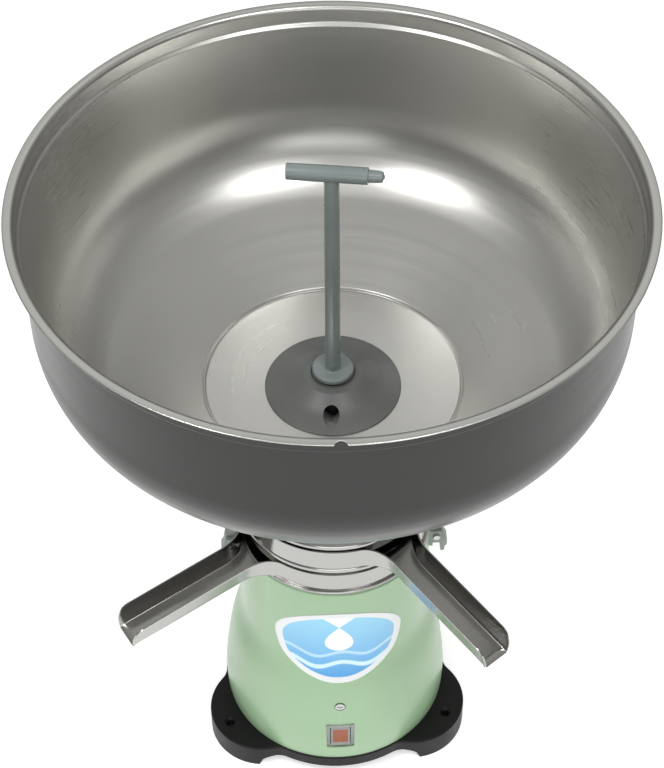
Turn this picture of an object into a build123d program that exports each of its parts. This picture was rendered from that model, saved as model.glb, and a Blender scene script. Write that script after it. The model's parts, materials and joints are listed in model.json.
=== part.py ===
"""Household cream separator: a motor base, a spinning drum, two receivers, a float chamber and a milk bowl.

Millimetres, +Z up. The origin is on the drum's axis, level with the table, and the front is -Y.
"""

from build123d import *
import math
import os

# ---- Driving dimensions ----

# Base
BASE_RING_R = 80.0
BASE_HEIGHT = 20.0
BASE_TOP_THICKNESS = 3.5
BASE_WALL = 3.0
LOBE_OFFSET = 62.0
LOBE_R = 38.5
LOBE_BLEND_R = 14.0
LOBE_AZIMUTHS = (-60.0, 60.0, 180.0)
TABLE_SCREW_R = 90.0
TABLE_HOLE_R = 2.5
SKIRT_GAP_HEIGHT = 10.0
GAP_HALF = 33.6
GAP_NEAR_R = 60.0
GAP_FAR_R = 150.0
HOUSING_SCREW_R = 72.5

# Motor housing
HOUSING_WALL = 3.0
HOUSING_FOOT_R = 78.9
HOUSING_BELLY_R = 79.3
NECK_R = 65.0
NECK_START_Z = 112.0
NECK_TOP_Z = 192.6
WELL_FLOOR_Z = 108.0
WELL_FLOOR_THICKNESS = 4.0

# Switch, front screw, gland and badge on the housing
SWITCH_Z = 46.0
SWITCH_W = 19.0
SWITCH_H = 25.0
SWITCH_FACE_Y = -77.6
SWITCH_BEZEL = 1.6
ROCKER_PIVOT_Y = -72.0
ROCKER_PIVOT_R = 1.2
ROCKER_TILT = 9.0
FRONT_SCREW_Z = 77.0
FRONT_SCREW_SEAT = 73.2
GLAND_Z = 42.0
GLAND_BORE_R = 3.6
GLAND_NECK_R = 6.5
BADGE_THICKNESS = 0.5
BADGE_TOP_Z = 172.5
BADGE_BOTTOM_Z = 98.7
BADGE_SIDE = (
    (19.0, 168.6),
    (33.0, 159.5),
    (41.0, 148.0),
    (42.6, 136.5),
    (38.6, 118.8),
    (27.3, 106.8),
    (13.0, 100.2),
)

# Side latches
LATCH_PIN_X = 69.5
LATCH_PIN_Z = 178.0
LATCH_PIN_R = 1.5

# Motor
SHAFT_R = 4.0
SHAFT_FIT = 0.05
STATOR_R = 34.0
STATOR_BORE_R = 20.6
STATOR_Z0 = 50.0
STATOR_Z1 = 76.0
ROTOR_R = 20.0
BOLT_R = 31.5
BOLT_HOLE_R = 1.6
MOUNT_R = 30.0

# Drum
DRUM_R = 53.0
DRUM_Z0 = 121.0
TUBE_R = 8.0
TUBE_BORE_R = 5.5
TUBE_TOP_Z = 240.0
DISC_COUNT = 12
DISC_PITCH = 1.9
DISC_BORE_R = 11.8
DISC_R = 44.0
SKIM_OUTLET_Z = 204.5
CREAM_OUTLET_Z = 228.2
CREAM_SCREW_R = 1.5

# Receivers
SHEET = 1.0
SKIM_R = 63.0
SKIM_FLOOR_Z = 194.8
CREAM_R = 64.5
CREAM_FLOOR_Z = 220.3
BAND_HEIGHT = 16.5
SPOUT_TIP_R = 161.5
SPOUT_WIDTH = 20.4
SPOUT_SIDE_SHIFT = 4.0
SPOUT_ROOT_R = 62.0
SPOUT_SLOPE = 8.0
SPOUT_BLEND_R = 26.0
SPOUT_CORNER_R = 8.0
SKIM_AZIMUTH = -61.3
CREAM_AZIMUTH = 37.9
SKIM_HOLE_R = 28.0
SKIM_FLANGE_R = 65.3
SKIM_LIP_Z = 200.0
SKIRT_WALL = 1.2
CREAM_HOLE_R = 22.0
CREAM_LIP_Z = 225.0
CREAM_SKIRT_R = 61.2
CREAM_SKIRT_Z = 212.0
CREAM_BEAD_R = 61.0
CREAM_BEAD_Z = 216.0
CREAM_BEAD = 2.8

# Float chamber
CHAMBER_R = 58.0
CHAMBER_FLOOR_Z = 243.0
CHAMBER_TOP_Z = 322.6
CHAMBER_SKIRT_R = 61.8
CHAMBER_SKIRT_Z = 237.2
CHAMBER_BEAD_R = 62.0
CHAMBER_BEAD_Z = 240.4
CHAMBER_BEAD = 2.6

# Milk bowl
RIM_R = 187.0
RIM_Z = 482.0
RIM_INNER_R = 178.4
BOWL_SHEET = 1.0
BOWL_WALL_R = 178.9
BOWL_BAND_R = 180.0
BOWL_BAND_Z = 469.0
BOWL_ARC_R = 67.6
BOWL_ARC_Z = 415.4
BOWL_RING_R = 81.8
BOWL_RING_Z = 329.8
BOWL_DISH_Z = 326.5
BOWL_HOLE_R = 34.0
RIM_NOTCH_R = 3.4

# Tap
SEAT_R = 42.7
SEAT_EDGE_Z = 325.6
SEAT_TOP_Z = 337.4
SEAT_CROWN_R = 18.5
SEAT_BEND_R = 30.0
SEAT_BEND_Z = 330.2
SEAT_WELL_R = 13.6
SEAT_BOTTOM_Z = 303.0
BARREL_R = 33.0
PLUG_R = 8.0
PLUG_FIT = 0.06
PLUG_BOTTOM_Z = 302.0
PLUG_GROOVES_Z = (309.0, 314.5)
COLLAR_R = 12.7
COLLAR_Z0 = 338.6
COLLAR_Z1 = 342.2
ROD_FOOT_R = 4.8
ROD_TOP_R = 4.4
BAR_Z = 499.7
BAR_R = 5.0
BAR_TURN = -8.6
PORT_Z = 326.0
PORT_R = 4.6

CUT_OVERRUN = 1.0

os.makedirs("parts", exist_ok=True)


# ---- Helpers ----

def save(name, shape):
    """Write one sub-part."""
    export_step(shape, f"parts/{name}.step")


def turned(*corners):
    """A solid of revolution about Z, from its (radius, height) corners in order."""
    outline = Polyline([(r, 0, z) for r, z in corners], close=True)
    return revolve(make_face(outline), Axis.Z)


def ring(inner_r, outer_r, z0, z1):
    """A plain ring or sleeve about Z."""
    return turned((inner_r, z0), (outer_r, z0), (outer_r, z1), (inner_r, z1))


def disc(radius, z0, z1, x=0.0, y=0.0):
    """A cylinder along Z."""
    return Pos(x, y, (z0 + z1) / 2) * Cylinder(radius, z1 - z0)


def rod(radius, start, end):
    """A round rod between two points."""
    line = Line(start, end)
    return extrude(Plane(start, z_dir=line % 0) * Circle(radius), line.length)


def block(x0, x1, y0, y1, z0, z1):
    """A box from its lowest and highest corners."""
    size = Box(x1 - x0, y1 - y0, z1 - z0)
    return Pos((x0 + x1) / 2, (y0 + y1) / 2, (z0 + z1) / 2) * size


def polar(radius, azimuth):
    """The x, y of a point at an azimuth measured from the front towards +X."""
    angle = math.radians(azimuth)
    return radius * math.sin(angle), -radius * math.cos(angle)


def around(count, start=0.0):
    """Evenly spaced turns about Z."""
    return [Rot(0, 0, start + 360.0 * i / count) for i in range(count)]


def cone_shell(outer_sum, thickness, inner_r, outer_r):
    """A 45 degree cone of sheet, where radius plus height is outer_sum on its upper face."""
    low_sum = outer_sum - thickness
    return turned(
        (inner_r, low_sum - inner_r),
        (outer_r, low_sum - outer_r),
        (outer_r, outer_sum - outer_r),
        (inner_r, outer_sum - inner_r),
    )


# ---- Base ----

def base_outline(inset=0.0):
    """The ring with its three lobes, blended, moved inwards by inset."""
    ring_r = BASE_RING_R - inset
    outline = Sketch() + Circle(ring_r)
    for azimuth in LOBE_AZIMUTHS:
        x, y = polar(LOBE_OFFSET, azimuth)
        outline += Pos(x, y) * Circle(LOBE_R - inset)
    corners = [v for v in outline.vertices() if abs(Vector(v.X, v.Y, 0).length - ring_r) < 0.5]
    return fillet(corners, LOBE_BLEND_R + inset)


def skirt_gap(middle):
    """The cutter that lifts the skirt clear of the table between two lobes, with round ends."""
    corners = [(GAP_NEAR_R, -GAP_HALF), (GAP_FAR_R, -GAP_HALF), (1.3 * GAP_FAR_R, 0.0)]
    corners += [(GAP_FAR_R, GAP_HALF), (GAP_NEAR_R, GAP_HALF)]
    points = [polar(radius, middle + turn) for radius, turn in corners]
    cutter = extrude(make_face(Polyline(*points, close=True)), SKIRT_GAP_HEIGHT + CUT_OVERRUN)
    cutter = Pos(0, 0, -CUT_OVERRUN) * cutter
    for side in (-GAP_HALF, GAP_HALF):
        x, y = polar(1.0, middle + side)
        start, end = Vector(x, y, 0) * GAP_NEAR_R, Vector(x, y, 0) * (GAP_FAR_R - 20.0)
        cutter += rod(SKIRT_GAP_HEIGHT, start, end)
    return cutter


def base_plate():
    """Hollow plastic base: raised skirt between the lobes, screw bosses, air slots under the motor."""
    body = extrude(base_outline(), BASE_HEIGHT)
    body = fillet(body.faces().sort_by(Axis.Z)[-1].edges(), 1.2)
    under_top = BASE_HEIGHT - BASE_TOP_THICKNESS
    body -= extrude(base_outline(BASE_WALL), under_top)
    for azimuth in LOBE_AZIMUTHS:
        body -= skirt_gap(azimuth + 60.0)
    slot = Pos(36, 0, BASE_HEIGHT) * Box(24, 4, 12)
    body -= [turn * slot for turn in around(12)]
    for azimuth in LOBE_AZIMUTHS:
        x, y = polar(TABLE_SCREW_R, azimuth)
        body += disc(6.0, 0, under_top + 0.5, x, y)
        body -= disc(TABLE_HOLE_R, -CUT_OVERRUN, BASE_HEIGHT + CUT_OVERRUN, x, y)
        body -= Pos(x, y, BASE_HEIGHT - 0.75) * Cone(TABLE_HOLE_R, TABLE_HOLE_R + 1.5, 1.5)
        x, y = polar(HOUSING_SCREW_R, azimuth + 60.0)
        body += disc(5.0, 12.0, under_top + 0.5, x, y)
        body -= disc(2.1, -CUT_OVERRUN, BASE_HEIGHT + CUT_OVERRUN, x, y)
    return body


def base_screws():
    """Three screws that hold the housing down on the base, from below."""
    shank = disc(2.0, 14.0, 31.0) + disc(3.8, 9.5, 12.0) + disc(2.0, 12.0, 14.0)
    return [Pos(*polar(HOUSING_SCREW_R, azimuth + 60.0), 0) * shank for azimuth in LOBE_AZIMUTHS]


# ---- Motor housing ----

def housing_profile(grow):
    """The bell's half outline in the XZ plane, moved outwards by grow, as edges from foot to neck top."""
    bell = Spline(
        [
            (HOUSING_FOOT_R + grow, 0, BASE_HEIGHT),
            (HOUSING_BELLY_R + grow, 0, 34.0),
            (77.8 + grow, 0, 52.9),
            (75.2 + grow, 0, 72.6),
            (71.0 + grow, 0, 93.0),
            (NECK_R + grow, 0, NECK_START_Z + 8.0),
        ],
        tangents=[(0.04, 0, 1), (0, 0, 1)],
    )
    neck = Line(bell @ 1, (NECK_R + grow, 0, NECK_TOP_Z))
    return bell, neck


def housing_solid(grow=0.0):
    """The bell filled to the axis."""
    bell, neck = housing_profile(grow)
    top = Line(neck @ 1, (0, 0, NECK_TOP_Z))
    axis_line = Line((0, 0, NECK_TOP_Z), (0, 0, BASE_HEIGHT))
    foot = Line((0, 0, BASE_HEIGHT), bell @ 0)
    return revolve(make_face([bell, neck, top, axis_line, foot]), Axis.Z)


def motor_housing():
    """Bell shell with the floor of the drum well across it and the openings for its fittings."""
    inside = housing_solid(-HOUSING_WALL)
    shell = fillet(housing_solid().edges().sort_by(Axis.Z)[-1], 1.5)
    well_floor = disc(NECK_R, WELL_FLOOR_Z, WELL_FLOOR_Z + WELL_FLOOR_THICKNESS) & housing_solid(-1.0)
    shell = shell - inside + well_floor
    shell -= disc(13.0, WELL_FLOOR_Z - CUT_OVERRUN, WELL_FLOOR_Z + 10)
    for turn in around(3, 30.0):
        shell -= turn * disc(1.6, WELL_FLOOR_Z - CUT_OVERRUN, WELL_FLOOR_Z + 10, MOUNT_R)
    for azimuth in LOBE_AZIMUTHS:
        x, y = polar(HOUSING_SCREW_R, azimuth + 60.0)
        post = disc(5.0, BASE_HEIGHT, 34.0, x, y) & housing_solid(-1.0)
        shell = shell + post - disc(2.0, BASE_HEIGHT - CUT_OVERRUN, 31.0, x, y)
    half_w, half_h = SWITCH_W / 2 - 1.5, SWITCH_H / 2 - 1.5
    shell -= block(-half_w, half_w, -90, -60, SWITCH_Z - half_h, SWITCH_Z + half_h)
    shell -= switch_pocket()
    shell -= rod(2.0, (0, -90, FRONT_SCREW_Z), (0, -60, FRONT_SCREW_Z))
    shell -= rod(4.0, (0, -90, FRONT_SCREW_Z), (0, -FRONT_SCREW_SEAT, FRONT_SCREW_Z))
    shell -= rod(GLAND_NECK_R, (0, 60, GLAND_Z), (0, 90, GLAND_Z))
    return shell


def switch_pocket():
    """The flat recess in the housing that the switch frame sits in."""
    half_w, half_h = SWITCH_W / 2 + 0.2, SWITCH_H / 2 + 0.2
    back = SWITCH_FACE_Y + SWITCH_BEZEL
    return block(-half_w, half_w, -90, back, SWITCH_Z - half_h, SWITCH_Z + half_h)


def switch_frame():
    """Bezel and body of the rocker switch, open at the front for the rocker."""
    half_w, half_h = SWITCH_W / 2, SWITCH_H / 2
    back = SWITCH_FACE_Y + SWITCH_BEZEL
    frame = block(-half_w, half_w, SWITCH_FACE_Y, back, SWITCH_Z - half_h, SWITCH_Z + half_h)
    frame += block(-7.8, 7.8, back, -56.0, SWITCH_Z - 10.8, SWITCH_Z + 10.8)
    frame -= block(-7.3, 7.3, -90, -66.0, SWITCH_Z - 10.2, SWITCH_Z + 10.2)
    heights = (SWITCH_Z - 7.0, SWITCH_Z, SWITCH_Z + 7.0)
    return frame + [block(-3.0, 3.0, -56.0, -48.0, z - 0.4, z + 0.4) for z in heights]


def tilted_rocker(shape):
    """Turn a rocker piece about the switch's pivot to its rest position, lower half out."""
    pivot = Pos(0, ROCKER_PIVOT_Y, SWITCH_Z)
    return pivot * Rot(-ROCKER_TILT, 0, 0) * pivot.inverse() * shape


def rocker():
    """Clear grey rocker with a shallow V front and its pivot stubs, before the lens pocket is cut."""
    side = make_face(
        Polyline(
            (ROCKER_PIVOT_Y + 4.0, SWITCH_Z - 5.0),
            (-79.0, SWITCH_Z - 9.2),
            (-78.2, SWITCH_Z),
            (-79.0, SWITCH_Z + 9.2),
            (ROCKER_PIVOT_Y + 4.0, SWITCH_Z + 5.0),
            close=True,
        )
    )
    body = Pos(-6.8, 0, 0) * extrude(Plane.YZ * side, 13.6)
    return body + rod(ROCKER_PIVOT_R, (-7.2, ROCKER_PIVOT_Y, SWITCH_Z), (7.2, ROCKER_PIVOT_Y, SWITCH_Z))


def lens_pocket():
    """The space in the rocker's front that the lens fills."""
    return block(-5.2, 5.2, -90, -76.6, SWITCH_Z - 6.4, SWITCH_Z + 6.4)


def rocker_shape():
    """The rocker, tilted, with its lens pocket cut."""
    return tilted_rocker(rocker() - lens_pocket())


def rocker_lens():
    """Red-brown lens that fills the rocker's pocket."""
    return tilted_rocker(rocker() & lens_pocket())


def front_screw():
    """Pan head screw with a cross slot, in its recess."""
    seat = -FRONT_SCREW_SEAT
    screw = rod(3.4, (0, seat - 1.6, FRONT_SCREW_Z), (0, seat, FRONT_SCREW_Z))
    screw += rod(1.9, (0, seat, FRONT_SCREW_Z), (0, -60, FRONT_SCREW_Z))
    screw -= block(-0.4, 0.4, seat - 3, seat - 0.8, FRONT_SCREW_Z - 2.2, FRONT_SCREW_Z + 2.2)
    screw -= block(-2.2, 2.2, seat - 3, seat - 0.8, FRONT_SCREW_Z - 0.4, FRONT_SCREW_Z + 0.4)
    return screw


def cable_gland():
    """Rubber bush in the back wall, with the bore for the mains lead."""
    back = HOUSING_BELLY_R - 0.4
    gland = rod(9.0, (0, back, GLAND_Z), (0, back + 4.0, GLAND_Z))
    gland -= housing_solid()
    gland += rod(GLAND_NECK_R, (0, 74.0, GLAND_Z), (0, back + 1.0, GLAND_Z))
    gland += rod(8.2, (0, 71.0, GLAND_Z), (0, 74.6, GLAND_Z))
    gland += rod(6.0, (0, back + 2.0, GLAND_Z), (0, back + 12.0, GLAND_Z))
    gland -= rod(GLAND_BORE_R, (0, 60, GLAND_Z), (0, 100, GLAND_Z))
    return gland


def badge_plate():
    """Thin badge wrapped on the housing's front: an arched top and a rounded bottom."""
    mirrored = [(-x, z) for x, z in reversed(BADGE_SIDE)]
    points = [(0.0, BADGE_TOP_Z), *BADGE_SIDE, (0.0, BADGE_BOTTOM_Z), *mirrored]
    outline = make_face(Spline(points, periodic=True))
    prism = Plane.XZ * outline
    return (housing_solid(BADGE_THICKNESS) - housing_solid()) & extrude(prism, 100)


# ---- Side latches ----

def latch_bracket(side):
    """Two ears on a pad against the neck, with the hole for the pin."""
    pad = block(NECK_R - 1.5, 67.0, -8.0, 8.0, 168.5, 184.0)
    ears = [block(66.0, 73.0, y0, y1, 171.0, 183.0) for y0, y1 in ((-7.5, -4.4), (4.4, 7.5))]
    bracket = pad + ears - disc(NECK_R, 150, 200)
    bracket -= rod(LATCH_PIN_R, (LATCH_PIN_X, -10, LATCH_PIN_Z), (LATCH_PIN_X, 10, LATCH_PIN_Z))
    return Rot(0, 0, side) * bracket


def latch_pin(side):
    """Hinge pin with a head."""
    pin = rod(LATCH_PIN_R, (LATCH_PIN_X, -8.2, LATCH_PIN_Z), (LATCH_PIN_X, 7.5, LATCH_PIN_Z))
    pin += rod(2.2, (LATCH_PIN_X, -9.2, LATCH_PIN_Z), (LATCH_PIN_X, -7.5, LATCH_PIN_Z))
    return Rot(0, 0, side) * pin


def latch_lever(side):
    """Lever that hooks over the skim receiver's bead, with a thumb tab below."""
    outline = make_face(
        Polyline(
            (69.8, 172.8),
            (73.0, 170.0),
            (73.0, 158.0),
            (75.4, 158.0),
            (76.0, 163.0),
            (77.2, 164.0),
            (77.2, 170.0),
            (75.6, 173.0),
            (74.0, 183.0),
            (68.9, 188.0),
            (68.9, 199.4),
            (65.1, 199.4),
            (65.1, 197.4),
            (66.6, 196.8),
            (66.6, 186.5),
            (67.6, 182.0),
            close=True,
        )
    )
    lever = Pos(0, 4.0, 0) * extrude(Plane.XZ * outline, 8.0)
    lever -= rod(LATCH_PIN_R + 0.06, (LATCH_PIN_X, -10, LATCH_PIN_Z), (LATCH_PIN_X, 10, LATCH_PIN_Z))
    return Rot(0, 0, side) * lever


# ---- Motor ----

def motor_shaft():
    """Spindle from the lower bearing to the drum's taper."""
    return turned(
        (0, 25.0),
        (SHAFT_R, 25.0),
        (SHAFT_R, 116.0),
        (7.0, 116.0),
        (7.0, 119.0),
        (6.0, 119.0),
        (4.2, 145.0),
        (0, 145.0),
    )


def motor_bracket(z0, boss_z0, boss_z1, pocket_z0, pocket_z1, pocket_r):
    """End bracket: a disc with air openings and the bearing's pocket."""
    plate = ring(SHAFT_R + 1.0, STATOR_R + 1.5, z0, z0 + 3.0) + disc(pocket_r + 3.0, boss_z0, boss_z1)
    plate -= disc(SHAFT_R + 1.0, z0 - 20, z0 + 30)
    plate -= disc(pocket_r, pocket_z0, pocket_z1)
    opening = Pos(22.0, 0, z0 + 1.5) * Box(10, 9, 8)
    return plate - [turn * opening for turn in around(6, 30.0)]


def lower_bracket():
    """End bracket under the motor, with the legs that carry the stator."""
    bracket = motor_bracket(27.0, 26.4, 35.0, 28.0, 35.5, 9.5)
    for x in (-BOLT_R, BOLT_R):
        bracket += disc(2.6, 29.0, STATOR_Z0, x)
        bracket -= disc(BOLT_HOLE_R, 20, 60, x)
    return bracket


def upper_bracket():
    """End bracket over the motor, hung from the well floor on rubber mounts."""
    bracket = motor_bracket(94.0, 90.0, 101.0, 89.5, 98.0, 11.0)
    for x in (-BOLT_R, BOLT_R):
        bracket += disc(2.6, STATOR_Z1, 95.0, x)
        bracket -= disc(BOLT_HOLE_R, 60, 110, x)
    for turn in around(3, 30.0):
        bracket += turn * disc(6.0, 94.0, 97.0, MOUNT_R)
        bracket -= turn * disc(1.6, 90.0, 110.0, MOUNT_R)
    return bracket


def bearing(outer_r, z0, z1):
    """Ball bearing with a recess between its rings, in running fit on the shaft."""
    body = ring(SHAFT_R + SHAFT_FIT, outer_r, z0, z1)
    middle = (SHAFT_R + outer_r) / 2
    body -= ring(middle - 1.2, middle + 1.2, z1 - 0.8, z1 + CUT_OVERRUN)
    return body


def stator_core():
    """Laminated stator: a ring with two poles and their curved shoes."""
    core = ring(29.0, STATOR_R, STATOR_Z0, STATOR_Z1)
    shoe = ring(STATOR_BORE_R, 23.6, STATOR_Z0, STATOR_Z1)
    wedge = Polyline((0, 0), (40, 34), (40, -34), close=True)
    wedge = extrude(Plane.XY.offset(STATOR_Z0) * make_face(wedge), STATOR_Z1 - STATOR_Z0)
    for turn in around(2):
        neck = block(23.0, 30.0, -8.0, 8.0, STATOR_Z0, STATOR_Z1)
        core += turn * ((shoe & wedge) + neck)
        core -= turn * disc(BOLT_HOLE_R, STATOR_Z0 - 5, STATOR_Z1 + 5, BOLT_R)
    return core


def field_coils():
    """Two field windings around the pole necks."""
    coil = block(24.0, 28.6, -14.5, 14.5, STATOR_Z0 - 6.0, STATOR_Z1 + 6.0)
    coil = fillet(coil.edges().filter_by(Axis.X), 5.0)
    coil -= block(20, 40, -8.0, 8.0, STATOR_Z0, STATOR_Z1)
    coil = coil & disc(28.8, 0, 120)
    return [turn * coil for turn in around(2)]


def rotor_core():
    """Armature core with open slots."""
    core = ring(SHAFT_R, ROTOR_R, STATOR_Z0, STATOR_Z1)
    slot = Pos(ROTOR_R - 2.0, 0, (STATOR_Z0 + STATOR_Z1) / 2) * Box(6.0, 2.4, 40.0)
    return core - [turn * slot for turn in around(12)]


def rotor_windings():
    """Armature end windings above and below the core."""
    top = turned((5.0, STATOR_Z1), (17.0, STATOR_Z1), (15.0, 81.5), (7.0, 81.5), (5.0, 80.0))
    bottom = turned((5.0, STATOR_Z0), (17.0, STATOR_Z0), (14.5, 47.2), (5.0, 47.2))
    return top + bottom


def commutator():
    """Copper commutator with its bar slots."""
    body = ring(SHAFT_R, 10.5, 37.0, 46.8)
    slot = Pos(10.5, 0, 41.9) * Box(1.6, 0.6, 12.0)
    return body - [turn * slot for turn in around(24)]


def cooling_fan():
    """Fan with eight straight vanes under its disc."""
    fan = ring(SHAFT_R, 7.0, 82.6, 89.0) + ring(SHAFT_R, 22.5, 88.0, 89.2)
    vane = Pos(14.5, 0, 85.8) * Box(15.5, 1.0, 5.2)
    return fan + [turn * vane for turn in around(8)]


def brush_holders():
    """Two brass brush tubes standing on the lower bracket."""
    holder = block(11.6, 25.0, -4.0, 4.0, 38.0, 46.0) - block(5.0, 24.0, -2.6, 2.6, 39.4, 44.6)
    holder += block(15.0, 19.0, -4.0, 4.0, 30.0, 38.5)
    return [turn * holder for turn in around(2, 90.0)]


def carbon_brushes():
    """Two carbon brushes, a hair clear of the turning commutator."""
    brush = block(10.9, 21.0, -2.5, 2.5, 39.5, 44.5)
    return [turn * brush for turn in around(2, 90.0)]


def motor_bolts():
    """Two long bolts through both brackets and the stator."""
    bolt = disc(1.6, 24.5, 99.0) + disc(3.0, 24.5, 27.0) + disc(3.0, 97.0, 99.2)
    return [Pos(x, 0, 0) * bolt for x in (-BOLT_R, BOLT_R)]


def rubber_mounts():
    """Three rubber bushes between the upper bracket and the well floor."""
    mount = turned((1.6, 97.0), (6.0, 97.0), (4.6, 102.5), (6.0, WELL_FLOOR_Z), (1.6, WELL_FLOOR_Z))
    return [turn * Pos(MOUNT_R, 0, 0) * mount for turn in around(3, 30.0)]


def mount_screws():
    """Three screws that hang the motor from the well floor."""
    head_z = WELL_FLOOR_Z + WELL_FLOOR_THICKNESS
    screw = disc(1.6, 93.0, head_z) + disc(3.2, head_z, head_z + 2.0)
    return [turn * Pos(MOUNT_R, 0, 0) * screw for turn in around(3, 30.0)]


def spindle_seal():
    """Rubber lip seal in the well floor, around the spindle."""
    return turned((4.5, 107.0), (16.0, 107.0), (16.0, 108.0), (13.0, 108.0), (13.0, 113.5), (4.5, 113.5))


def terminal_block():
    """Three-way terminal block on the base, beside the cable gland."""
    body = block(-13.0, 13.0, 52.0, 62.0, BASE_HEIGHT, 32.0)
    for x in (-8.5, 0.0, 8.5):
        body -= disc(2.2, 28.0, 34.0, x, 57.0)
        body -= rod(1.8, (x, 50.0, 25.0), (x, 64.0, 25.0))
    return body


# ---- Drum ----

def drum_base():
    """Drum bottom with its hub on the spindle's taper and the feed tube up the middle."""
    base = turned(
        (6.0, 119.0),
        (12.0, 119.0),
        (14.0, DRUM_Z0),
        (DRUM_R, DRUM_Z0),
        (DRUM_R, 125.0),
        (50.0, 125.0),
        (50.0, 132.0),
        (47.0, 132.0),
        (47.0, 125.0),
        (TUBE_R, 125.0),
        (TUBE_R, TUBE_TOP_Z),
        (TUBE_BORE_R, TUBE_TOP_Z),
        (TUBE_BORE_R, 148.0),
        (0, 148.0),
        (0, 145.0),
        (4.2, 145.0),
    )
    for turn in around(4, 45.0):
        base -= turn * rod(2.0, (0, 0, 152.0), (12.0, 0, 152.0))
    return base


def disc_holder():
    """Cone under the disc pack, with the sleeve that the discs are threaded on."""
    holder = cone_shell(170.6, 3.0, 10.0, 45.6)
    holder = holder & disc(60.0, 125.0, 300.0)
    holder += ring(TUBE_R, 11.0, 157.0, 182.0)
    holder -= disc(TUBE_R, 100.0, 300.0)
    slot = Pos(30.0, 0, 138.0) * Rot(0, 45, 0) * Cylinder(2.2, 14.0)
    return holder - [turn * slot for turn in around(4)]


def disc_stack():
    """The stack of thin separating cones, each with three feed holes."""
    hole = Pos(30.0, 0, 150.0) * Cylinder(2.2, 60.0)
    holes = [turn * hole for turn in around(3)]
    top_sum = 193.2
    return [
        cone_shell(top_sum - DISC_PITCH * i, 0.8, DISC_BORE_R, DISC_R) - holes
        for i in range(DISC_COUNT)
    ]


def separating_disc():
    """Thick top cone that keeps the cream apart, with its neck and the cream outlet."""
    body = cone_shell(196.0, 1.4, 13.8, 46.0) + ring(13.8, 15.2, 180.4, 226.0)
    body += ring(TUBE_R, 17.5, 224.0, 232.0) - ring(TUBE_R + 1.0, 15.0, 223.0, 230.4)
    body -= rod(1.6, (0, -12.0, CREAM_OUTLET_Z), (0, -20.0, CREAM_OUTLET_Z))
    return body - rod(CREAM_SCREW_R + 0.06, (0, 12.0, CREAM_OUTLET_Z), (0, 20.0, CREAM_OUTLET_Z))


def cream_screw():
    """Small screw in the cream outlet ring that sets how thick the cream is."""
    z = CREAM_OUTLET_Z
    screw = rod(CREAM_SCREW_R, (0, 13.4, z), (0, 19.0, z)) + rod(2.0, (0, 17.9, z), (0, 19.4, z))
    return screw - block(-3.0, 3.0, 18.7, 20.0, z - 0.3, z + 0.3)


def drum_cover():
    """Drum's outer cover: skirt, cone and the neck ring with the two skim outlets."""
    cover = turned(
        (51.5, 125.0),
        (DRUM_R, 125.0),
        (DRUM_R, 150.2),
        (19.0, 184.2),
        (19.0, 201.0),
        (24.0, 202.0),
        (24.0, 207.0),
        (19.0, 208.0),
        (19.0, 213.0),
        (15.2, 213.0),
        (15.2, 210.0),
        (16.5, 210.0),
        (16.5, 182.5),
        (50.0, 149.0),
        (50.0, 128.0),
        (51.5, 128.0),
    )
    for turn in around(2):
        cover -= turn * rod(1.8, (0, 0, SKIM_OUTLET_Z), (30.0, 0, SKIM_OUTLET_Z))
    return cover


def drum_nut():
    """Ribbed nut that clamps the drum together on the feed tube."""
    nut = ring(TUBE_R, 13.0, 232.0, 240.0)
    rib = Pos(13.0, 0, 236.0) * Cylinder(1.6, 8.0)
    return nut + [turn * rib for turn in around(8)]


# ---- Receivers ----

def receiver_outline(radius, shift):
    """A circle blended into the spout's straight sides; the spout points along +X, moved sideways."""
    centre = (SPOUT_TIP_R + CUT_OVERRUN) / 2
    channel = Pos(centre, shift) * Rectangle(SPOUT_TIP_R + CUT_OVERRUN, SPOUT_WIDTH)
    outline = Sketch() + Circle(radius) + channel
    corners = [v for v in outline.vertices() if v.X < radius]
    return fillet(corners, SPOUT_BLEND_R)


def receiver_side(z_low, z_high, overrun):
    """Side view of the pan and its sloping spout, between two heights at the root."""
    drop = math.tan(math.radians(SPOUT_SLOPE)) * (SPOUT_TIP_R + overrun - SPOUT_ROOT_R)
    tip = SPOUT_TIP_R + overrun
    side = make_face(
        Polyline(
            (-100.0, z_low),
            (SPOUT_ROOT_R, z_low),
            (tip, z_low - drop),
            (tip, z_high - drop),
            (SPOUT_ROOT_R, z_high),
            (-100.0, z_high),
            close=True,
        )
    )
    return Pos(0, 100.0, 0) * extrude(Plane.XZ * side, 200.0)


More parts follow.
